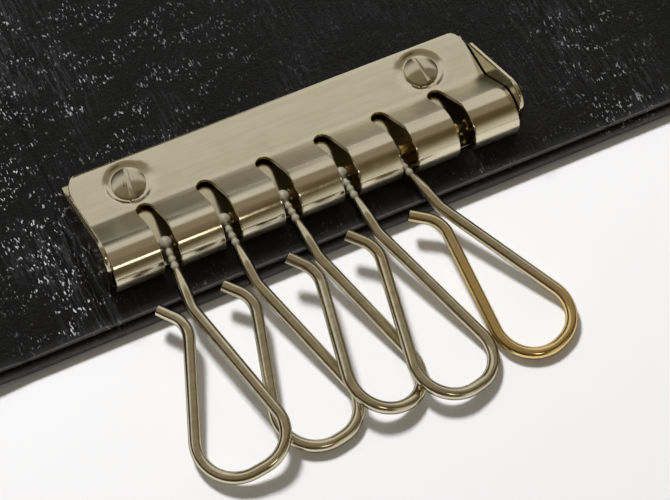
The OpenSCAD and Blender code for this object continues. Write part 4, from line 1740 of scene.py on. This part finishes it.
@dataclass
class BasePlate:
    """The plate under the cover, whose ends stand up as ears that hold the axle.

    Attributes:
        frame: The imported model's measures.
        thick: Thickness of the plate.
        bottom: Height of its underside.
        front: Distance from the axle to its front edge.
        rear: Distance from the axle to its rear edge.
        ear: Thickness of the ears.
        gap: Gap between the cover's ends and the ears.
        step: How far the ear stands out in front and steps in at the rear.
        peak: Height at which the ear's slanted edge would meet its front edge, above the underside.
        nose: Radius of the ear's nose.
        tail: How far the ear's low tail lies in from the rear edge, and its height.
        tail_r: Radius at the tail.
        edge: Width of the ears' rounded edges.
        sheet_edge: Width of the plate's rounded edges.
        edge_steps: Steps across a rounded edge.
    """

    frame: CaseFrame
    thick: float = 0.6 * MM
    bottom: float = 2.6 * MM
    front: float = 2.2 * MM
    rear: float = 14.3 * MM
    ear: float = 0.7 * MM
    gap: float = 0.15 * MM
    step: tuple[float, float] = (0.3 * MM, 0.4 * MM)
    peak: float = 9.6 * MM
    nose: float = 2.6 * MM
    tail: tuple[float, float] = (2.7 * MM, 2.3 * MM)
    tail_r: float = 1.0 * MM
    edge: float = 0.2 * MM
    sheet_edge: float = 0.1 * MM
    edge_steps: int = 4

    def build(self) -> Object:
        """Build the plate with both ears.

        Returns:
            The piece.
        """
        bm = bmesh.new()
        half = (self.frame.cover_right - self.frame.cover_left) / 2 + self.gap
        corners = ((-half - self.ear / 2, -self.front), (half + self.ear / 2, -self.front),
                   (half + self.ear / 2, self.rear), (-half - self.ear / 2, self.rear))
        sheet = [bm.verts.new((self.frame.row_x + x, self.frame.axle_y + y, self.bottom)) for x, y in corners]
        self.thicken(bm, bm.faces.new(sheet), Vector((0.0, 0.0, self.thick)), self.sheet_edge)
        for side in (-1.0, 1.0):
            x = self.frame.row_x + side * half
            outline = [bm.verts.new((x, self.frame.axle_y + p.x, p.y)) for p in self.ear_outline()]
            self.thicken(bm, bm.faces.new(outline), Vector((side * self.ear, 0.0, 0.0)), self.edge)
        bmesh.ops.recalc_face_normals(bm, faces=bm.faces)
        piece = finish_piece(bm, "base_with_ears", 35.0)
        weighted = piece.modifiers.new("flat_faces", "WEIGHTED_NORMAL")
        weighted.keep_sharp = True
        return piece

    def thicken(self, bm: BMesh, face: BMFace, step: Vector, edge: float) -> None:
        """Extrude an outline's face and round its edges.

        Args:
            bm: The mesh.
            face: The outline's face.
            step: The thickness and its direction.
            edge: Width of the rounded edges.
        """
        made = bmesh.ops.extrude_face_region(bm, geom=[face], use_keep_orig=True)["geom"]
        bmesh.ops.translate(bm, verts=[v for v in made if isinstance(v, BMVert)], vec=step)
        tops = [face] + [f for f in made if isinstance(f, BMFace)]
        caps = [f for f in tops if len(f.verts) == len(face.verts)]
        rims = list({e for f in caps for e in f.edges})
        bmesh.ops.bevel(bm, geom=rims, offset=edge, offset_type="OFFSET", segments=self.edge_steps,
                        profile=0.5, affect="EDGES", material=-1, clamp_overlap=True)

    def ear_outline(self) -> list[Vector]:
        """The ear's outline as (Y from the axle, Z), with rounded nose and tail."""
        front = -self.front - self.step[0]
        corners = [
            (Vector((front, self.bottom)), 0.0),
            (Vector((self.rear - self.step[1], self.bottom)), 0.0),
            (Vector((self.rear - self.tail[0], self.bottom + self.tail[1])), self.tail_r),
            (Vector((front, self.bottom + self.peak)), self.nose),
        ]
        points = []
        for index, (corner, radius) in enumerate(corners):
            before, after = corners[index - 1][0], corners[(index + 1) % len(corners)][0]
            points += round_corner(before, corner, after, radius)
        return points


def round_corner(before: Vector, corner: Vector, after: Vector, radius: float) -> list[Vector]:
    """Points of a true arc that rounds a corner.

    Args:
        before: The corner before it.
        corner: The corner.
        after: The corner after it.
        radius: The arc's radius, 0 for a sharp corner.

    Returns:
        The points, in order.
    """
    if radius <= 0.0:
        return [corner]
    first, second = (before - corner).normalized(), (after - corner).normalized()
    half = first.angle(second) / 2
    centre = corner + (first + second).normalized() * (radius / math.sin(half))
    start = corner + first * (radius / math.tan(half)) - centre
    end = corner + second * (radius / math.tan(half)) - centre
    sweep = math.atan2(start.x * end.y - start.y * end.x, start.dot(end))
    return [centre + Matrix.Rotation(a, 2) @ start for a in spread(0.0, sweep, math.radians(6.0))]


@dataclass
class MountingScrew:
    """A slotted screw with a domed head.

    Attributes:
        place: Where the head sits.
        turn: Direction of its slot, in degrees.
        radius: Radius of the head.
        height: Height of the head.
        dome: Height of the dome.
        shank: Radius of the shank.
        tip: Height of the shank's tip.
        groove: Width and depth of the slot.
        rim: Width of the rounded edges.
        dome_steps: Steps from the dome's top to its rim.
        sides: Faces round the screw.
    """

    place: Vector
    turn: float
    radius: float = 2.35 * MM
    height: float = 0.9 * MM
    dome: float = 0.6 * MM
    shank: float = 1.0 * MM
    tip: float = 1.7 * MM
    groove: tuple[float, float] = (0.55 * MM, 0.5 * MM)
    rim: float = 0.05 * MM
    dome_steps: int = 14
    sides: int = 64

    def build(self, name: str) -> Object:
        """Turn the screw and cut its slot.

        Args:
            name: The piece's name.

        Returns:
            The screw.
        """
        ball = (self.radius ** 2 + self.dome ** 2) / (2 * self.dome)
        widest = math.asin(self.radius / ball)
        line = [(ball * math.sin(a), self.height - ball + ball * math.cos(a))
                for a in spread(0.0, widest, widest / self.dome_steps)]
        depth = self.tip - self.place.z
        line += [(self.radius, 0.0), (self.shank, 0.0), (self.shank, depth), (0.0, depth)]
        bm = revolve([(r, 0.0, z) for r, z in line], (0.0, 0.0, 1.0), self.sides)
        self.cut_groove(bm)
        bmesh.ops.recalc_face_normals(bm, faces=bm.faces)
        turn = Matrix.Rotation(math.radians(self.turn), 4, "Z")
        bmesh.ops.transform(bm, matrix=Matrix.Translation(self.place) @ turn, verts=bm.verts)
        piece = finish_piece(bm, name, 35.0)
        add_bevel(piece, self.rim, 40.0)
        piece.modifiers["edges"].harden_normals = False
        return piece

    def cut_groove(self, bm: BMesh) -> None:
        """Cut the slot across the dome, along the screw's own X.

        Args:
            bm: The screw's mesh, its head on the origin.
        """
        half, floor = self.groove[0] / 2, self.height - self.groove[1]
        for place, normal in (((0.0, -half, 0.0), (0.0, 1.0, 0.0)), ((0.0, half, 0.0), (0.0, 1.0, 0.0)),
                              ((0.0, 0.0, floor), (0.0, 0.0, 1.0))):
            bmesh.ops.bisect_plane(bm, geom=bm.verts[:] + bm.edges[:] + bm.faces[:], plane_co=place,
                                   plane_no=normal, dist=MERGE / 2)
        centres = [(f, f.calc_center_median()) for f in bm.faces]
        doomed = [f for f, centre in centres if abs(centre.y) < half and centre.z > floor]
        bmesh.ops.delete(bm, geom=doomed, context="FACES")
        sides = [e for e in bm.edges if e.is_boundary and max(v.co.z for v in e.verts) > floor + MERGE]
        walls = bmesh.ops.extrude_edge_only(bm, edges=sides)["geom"]
        for vert in walls:
            if isinstance(vert, BMVert):
                vert.co.z = floor
        bmesh.ops.remove_doubles(bm, verts=bm.verts, dist=MERGE)
        bmesh.ops.holes_fill(bm, edges=[e for e in bm.edges if e.is_boundary], sides=0)
        bmesh.ops.dissolve_degenerate(bm, dist=WIDE_MERGE, edges=bm.edges)


@dataclass
class KeyRow:
    """The base plate, rolled cover, screws, axle, sleeves and posts.

    Attributes:
        frame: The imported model's measures.
        wardrobe: The finishes.
        body: The body that the row rides on.
        screw: Each screw's distance from the row's middle and from the axle.
        seat: Height of the screw heads' seat.
        slot_turn: Direction of each screw's slot, in degrees.
    """

    frame: CaseFrame
    wardrobe: Wardrobe
    body: str = "case_back"
    screw: tuple[float, float] = (22.0 * MM, 10.7 * MM)
    seat: float = 4.1 * MM
    slot_turn: tuple[float, float] = (79.0, 95.0)

    def build(self) -> None:
        """Build and dress the row's parts."""
        self.add(CoverPlate(self.frame).build(), "cover_nickel", "cover_plate")
        self.add(BasePlate(self.frame).build(), "base_nickel", "base_plate")
        for number, (side, turn) in enumerate(zip((-1.0, 1.0), self.slot_turn), 1):
            reach, behind = self.screw
            place = Vector((self.frame.row_x + side * reach, self.frame.axle_y + behind, self.seat))
            screw = MountingScrew(place, turn).build(f"row_screw_{number}")
            self.add(screw, "screw_nickel", "mounting_screws")
        for node, slot in (("screw_posts", "post_nickel"), ("axle", "axle_steel"),
                           ("spacer_sleeves", "sleeve_brass")):
            self.wardrobe.dress(self.frame.nodes[node], slot)
        LOG.info("key row ready")

    def add(self, piece: Object, slot: str, node: str) -> None:
        """Dress a piece of the row and let it stand for its CAD node."""
        self.wardrobe.dress(piece, slot)
        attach(piece, self.body)
        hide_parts(node)


@dataclass(frozen=True)
class HookLie:
    """How one hook lies.

    Attributes:
        number: Its place in the row, from 1.
        shift: The head's place along the axle, from its slot.
        yaw: Turn to the side, in degrees.
        drop: Slope down from the axle, in degrees.
        roll: Turn about the hook's own length, in degrees.
        reach: What its loop adds in length.
        widen: What its loop adds in width on each side.
        worn: Whether the plating is worn off its loop.
        rub: How far it is rubbed elsewhere, where along the wire, and how far to either side.
    """

    number: int
    shift: float
    yaw: float
    drop: float
    roll: float
    reach: float
    widen: float
    worn: bool = False
    rub: tuple[float, float, float] = (0.06, 0.5, 0.2)


@dataclass(frozen=True)
class Corner:
    """One bend of the hook's outline.

    Attributes:
        across: Its corner's place across the hook.
        out: Its corner's distance from the axle.
        radius: The bend's radius.
    """

    across: float
    out: float
    radius: float


@dataclass
class KeyHooks:
    """Five wire hooks, each with a ball on the axle, a beaded collar and a bent loop.

    Attributes:
        frame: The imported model's measures.
        wardrobe: The finishes.
        pitch: Distance between neighbouring hooks.
        slot_count: Number of places along the row.
        wire: Radius of the wire.
        throat: Radius to which the wire is drawn thin at the collar.
        taper: Distance from the axle at which the wire has its full thickness.
        ball: Radius of the ball.
        neck: Radius of the neck between the beads.
        beads: Radii of the beads.
        first_bead: Distance of the first bead from the axle.
        bead_pitch: Distance between neighbouring beads.
        collar: Distance from the axle at which the collar ends.
        tip: The free leg's end, across and out.
        sides: Faces round the wire.
        turned_sides: Faces round the ball and the collar.
        bend_step: Turn of the wire in one step, in degrees.
        ball_step: Turn of the ball's outline in one step, in radians.
        bead_step: Turn of a bead's outline in one step, in radians.
        taper_step: Step along the drawn-out start of the wire.
        straight_step: Step along its straight parts.
        tip_steps: Steps along its last straight part.
        tip_edge: Width of the rounding at its end.
        sharp: Edges that turn by more than this many degrees are rounded, or stay sharp.
        corners: The bends of the outline.
        lies: How each hook lies, from the first.
    """

    frame: CaseFrame
    wardrobe: Wardrobe
    pitch: float = 8.7 * MM
    slot_count: int = 6
    wire: float = 0.825 * MM
    throat: float = 0.48 * MM
    taper: float = 6.8 * MM
    ball: float = 0.95 * MM
    neck: float = 0.38 * MM
    beads: tuple[float, ...] = (0.5 * MM, 0.52 * MM, 0.55 * MM)
    first_bead: float = 1.6 * MM
    bead_pitch: float = 0.95 * MM
    collar: float = 3.95 * MM
    tip: tuple[float, float] = (-4.2 * MM, 8.2 * MM)
    sides: int = 24
    turned_sides: int = 32
    bend_step: float = 6.0
    ball_step: float = math.radians(7.5)
    bead_step: float = math.radians(12.0)
    taper_step: float = 0.26 * MM
    straight_step: float = 1.5 * MM
    tip_steps: int = 4
    tip_edge: float = 0.12 * MM
    sharp: float = 50.0
    corners: tuple[Corner, ...] = (
        Corner(0.0, 9.8 * MM, 4.1 * MM), Corner(6.5 * MM, 32.6 * MM, 4.8 * MM),
        Corner(-8.3 * MM, 34.6 * MM, 5.2 * MM), Corner(-1.2 * MM, 11.6 * MM, 3.6 * MM),
    )
    lies: tuple[HookLie, ...] = (
        HookLie(1, 0.4 * MM, -3.7, 4.6, 10.0, -0.2 * MM, 0.2 * MM),
        HookLie(2, 0.1 * MM, 1.2, 6.85, -1.7, -0.2 * MM, -0.2 * MM),
        HookLie(3, 0.0, 3.7, 5.45, -14.5, -0.6 * MM, -0.7 * MM),
        HookLie(4, -0.1 * MM, 4.7, 5.4, -9.0, 1.0 * MM, -0.2 * MM, rub=(0.22, 0.9, 0.12)),
        HookLie(5, -1.0 * MM, 14.3, 6.7, 0.4, 0.7 * MM, -0.5 * MM, worn=True),
    )

    def build(self) -> None:
        """Build all five hooks."""
        for lie in self.lies:
            wire = self.build_wire(lie)
            self.wardrobe.dress(wire, "hook_worn" if lie.worn else "hook_nickel")
            head = self.build_head(lie)
            self.wardrobe.dress(head, "head_nickel")
            for piece, node in ((wire, f"hook_wire_{lie.number}"), (head, f"hook_head_{lie.number}")):
                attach(piece, f"hook_{lie.number}")
                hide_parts(node)
        LOG.info("hooks ready")

    def axle_point(self, lie: HookLie) -> Vector:
        """The centre of a hook's ball."""
        slot = self.frame.row_x + self.pitch * (lie.number - (self.slot_count + 1) / 2)
        return Vector((slot + lie.shift, self.frame.axle_y, self.frame.axle_z))

    def lie_matrix(self, lie: HookLie, roll: bool) -> Matrix:
        """The turn and place of a hook.

        Args:
            lie: How it lies.
            roll: Whether it turns about its own length too.

        Returns:
            The matrix from the hook's own plane, with its length along -Y.
        """
        yaw = Matrix.Rotation(math.radians(lie.yaw), 4, "Z")
        turn = yaw @ Matrix.Rotation(math.radians(lie.drop), 4, "X")
        if roll:
            turn = turn @ Matrix.Rotation(math.radians(-lie.roll), 4, "Y")
        return Matrix.Translation(self.axle_point(lie)) @ turn

    def build_wire(self, lie: HookLie) -> Object:
        """Draw one hook's wire: straight parts extruded, bends spun.

        Args:
            lie: How the hook lies.

        Returns:
            The wire, with its wear stored at each point.
        """
        corners = [Vector((c.across, -c.out, 0.0)) for c in self.corners]
        for index, sign in ((1, 1.0), (2, -1.0)):
            corners[index] += Vector((sign * lie.widen, -lie.reach, 0.0))
        end = Vector((self.tip[0], -self.tip[1], 0.0))
        points = [Vector((0.0, -self.collar, 0.0)), *corners, end]
        bm = bmesh.new()
        travel = bm.verts.layers.float.new("travel")
        upright = Matrix.Translation(points[0]) @ Matrix.Rotation(math.pi / 2, 4, "X")
        ring = bmesh.ops.create_circle(bm, segments=self.sides, radius=self.throat, cap_ends=True,
                                       matrix=upright)["verts"]
        here, length = points[0].copy(), 0.0
        stations = spread(self.collar, self.taper, self.taper_step)
        for before, after in zip(stations, stations[1:]):
            step = Vector((0.0, before - after, 0.0))
            length += after - before
            ring = self.extrude_ring(bm, ring, step, travel, length)
            here += step
            grown = (self.wire - self.throat) * (after - self.collar) / (self.taper - self.collar)
            factor = (self.throat + grown) / (ring[0].co - here).length
            bmesh.ops.scale(bm, verts=ring, vec=Vector((1.0, 1.0, 1.0)) * factor,
                            space=Matrix.Translation(-here))
        for before, corner, after, bend in zip(points, points[1:], points[2:], self.corners):
            inward, outward = (before - corner).normalized(), (after - corner).normalized()
            half = inward.angle(outward) / 2
            reach = bend.radius / math.tan(half)
            start = corner + inward * reach
            straight = start - here
            count = max(1, round(straight.length / self.straight_step))
            for _ in range(count):
                length += straight.length / count
                ring = self.extrude_ring(bm, ring, straight / count, travel, length)
            centre = corner + (inward + outward).normalized() * (bend.radius / math.sin(half))
            sweep = math.pi - 2 * half
            turn = 1.0 if inward.cross(outward).z < 0.0 else -1.0
            steps = max(3, round(math.degrees(sweep) / self.bend_step))
            for _ in range(steps):
                length += bend.radius * sweep / steps
                spun = bmesh.ops.spin(bm, geom=self.ring_edges(ring), cent=centre, axis=(0.0, 0.0, turn),
                                      angle=sweep / steps, steps=1, use_duplicate=False)["geom_last"]
                ring = [v for v in spun if isinstance(v, BMVert)]
                for vert in ring:
                    vert[travel] = length
            here = corner + outward * reach
        straight = end - here
        for _ in range(self.tip_steps):
            length += straight.length / self.tip_steps
            ring = self.extrude_ring(bm, ring, straight / self.tip_steps, travel, length)
        bmesh.ops.contextual_create(bm, geom=self.ring_edges(ring))
        bmesh.ops.remove_doubles(bm, verts=bm.verts, dist=MERGE)
        bmesh.ops.recalc_face_normals(bm, faces=bm.faces)
        bmesh.ops.transform(bm, matrix=self.lie_matrix(lie, True), verts=bm.verts)
        piece = finish_piece(bm, f"hook_loop_{lie.number}", self.sharp)
        add_bevel(piece, self.tip_edge, self.sharp)
        self.wear_wire(piece, lie, length)
        return piece

    def extrude_ring(self, bm: BMesh, ring: list[BMVert], step: Vector,
                     travel: bmesh.types.BMLayerItem, length: float) -> list[BMVert]:
        """Extrude the wire's last ring by one step.

        Args:
            bm: The mesh.
            ring: The last ring.
            step: How far it goes.
            travel: The layer that keeps the length along the wire.
            length: The length along the wire at the new ring.

        Returns:
            The new ring.
        """
        made = bmesh.ops.extrude_edge_only(bm, edges=self.ring_edges(ring))["geom"]
        fresh = [v for v in made if isinstance(v, BMVert)]
        bmesh.ops.translate(bm, verts=fresh, vec=step)
        for vert in fresh:
            vert[travel] = length
        return fresh

    @staticmethod
    def ring_edges(ring: list[BMVert]) -> list[BMEdge]:
        """The edges that join a ring's own points."""
        members = set(ring)
        return [e for v in ring for e in v.link_edges if e.verts[0] in members and e.verts[1] in members
                and e.verts[0] is v]

    def wear_wire(self, piece: Object, lie: HookLie, length: float) -> None:
        """Store how far the plating is worn along a wire.

        Args:
            piece: The wire.
            lie: How the hook lies and is worn.
            length: Its whole length.
        """
        travel = piece.data.attributes["travel"]
        values = [0.0] * len(piece.data.vertices)
        travel.data.foreach_get("value", values)
        shares = [value / length for value in values]
        if lie.worn:
            worn = [ease(share, 0.28, 0.46) * (1.0 - 0.55 * ease(share, 0.8, 0.95)) for share in shares]
        else:
            strength, *where = lie.rub
            worn = [strength * bell(share, *where) for share in shares]
        set_attribute(piece, "wear", worn)

    def build_head(self, lie: HookLie) -> Object:
        """Turn one hook's ball and beaded collar.

        Args:
            lie: How the hook lies.

        Returns:
            The head.
        """
        profile = [(0.0, self.ball)]
        join = math.acos(self.neck / self.ball)
        profile += [(self.ball * math.sin(a), self.ball * math.cos(a))
                    for a in spread(0.0, math.pi / 2 + join, self.ball_step)[1:]]
        for index, bead in enumerate(self.beads):
            centre = self.first_bead + index * self.bead_pitch
            half = math.acos(self.neck / bead)
            for angle in spread(-half, half, self.bead_step):
                profile.append((bead * math.cos(angle), -(centre + bead * math.sin(angle))))
        profile = [(r, out) for r, out in profile if out > -self.collar]
        profile += [(self.neck, -self.collar), (0.0, -self.collar)]
        bm = revolve([(r, out, 0.0) for r, out in profile], (0.0, 1.0, 0.0), self.turned_sides)
        bmesh.ops.recalc_face_normals(bm, faces=bm.faces)
        bmesh.ops.transform(bm, matrix=self.lie_matrix(lie, False), verts=bm.verts)
        return finish_piece(bm, f"hook_ball_{lie.number}", self.sharp)


@dataclass
class SnapFastener:
    """The stud on the left flap and the socket on the right flap.

    Attributes:
        frame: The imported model's measures.
        wardrobe: The finishes.
        edge: Width of the rounded edges.
        sharp: Least turn of an edge that is rounded, in degrees.
        flat: Turn below which two triangles are of one face, in degrees.
    """

    frame: CaseFrame
    wardrobe: Wardrobe
    edge: float = 0.08 * MM
    sharp: float = 28.0
    flat: float = 0.4

    def build(self) -> None:
        """Soften and dress the snap's parts."""
        for node, body in (("snap_stud", "left_flap"), ("snap_stud_rivet", "left_flap"),
                           ("snap_socket", "right_flap"), ("snap_cap", "right_flap")):
            piece = softened(self.frame.nodes[node], f"{node}_softened", self.edge, self.sharp, self.flat)
            self.wardrobe.dress(piece, "snap_nickel")
            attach(piece, body)
            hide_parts(node)
        self.wardrobe.dress(self.frame.nodes["snap_spring"], "spring_steel")
        LOG.info("snap ready")


def main() -> None:
    """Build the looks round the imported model."""
    logging.basicConfig(level=logging.INFO, format="%(message)s")
    frame = CaseFrame(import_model())
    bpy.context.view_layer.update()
    wardrobe = Wardrobe()
    Studio().build()
    for assembly in (LeatherCase, KeyRow, KeyHooks, SnapFastener):
        assembly(frame, wardrobe).build()


if __name__ == "__main__":
    main()
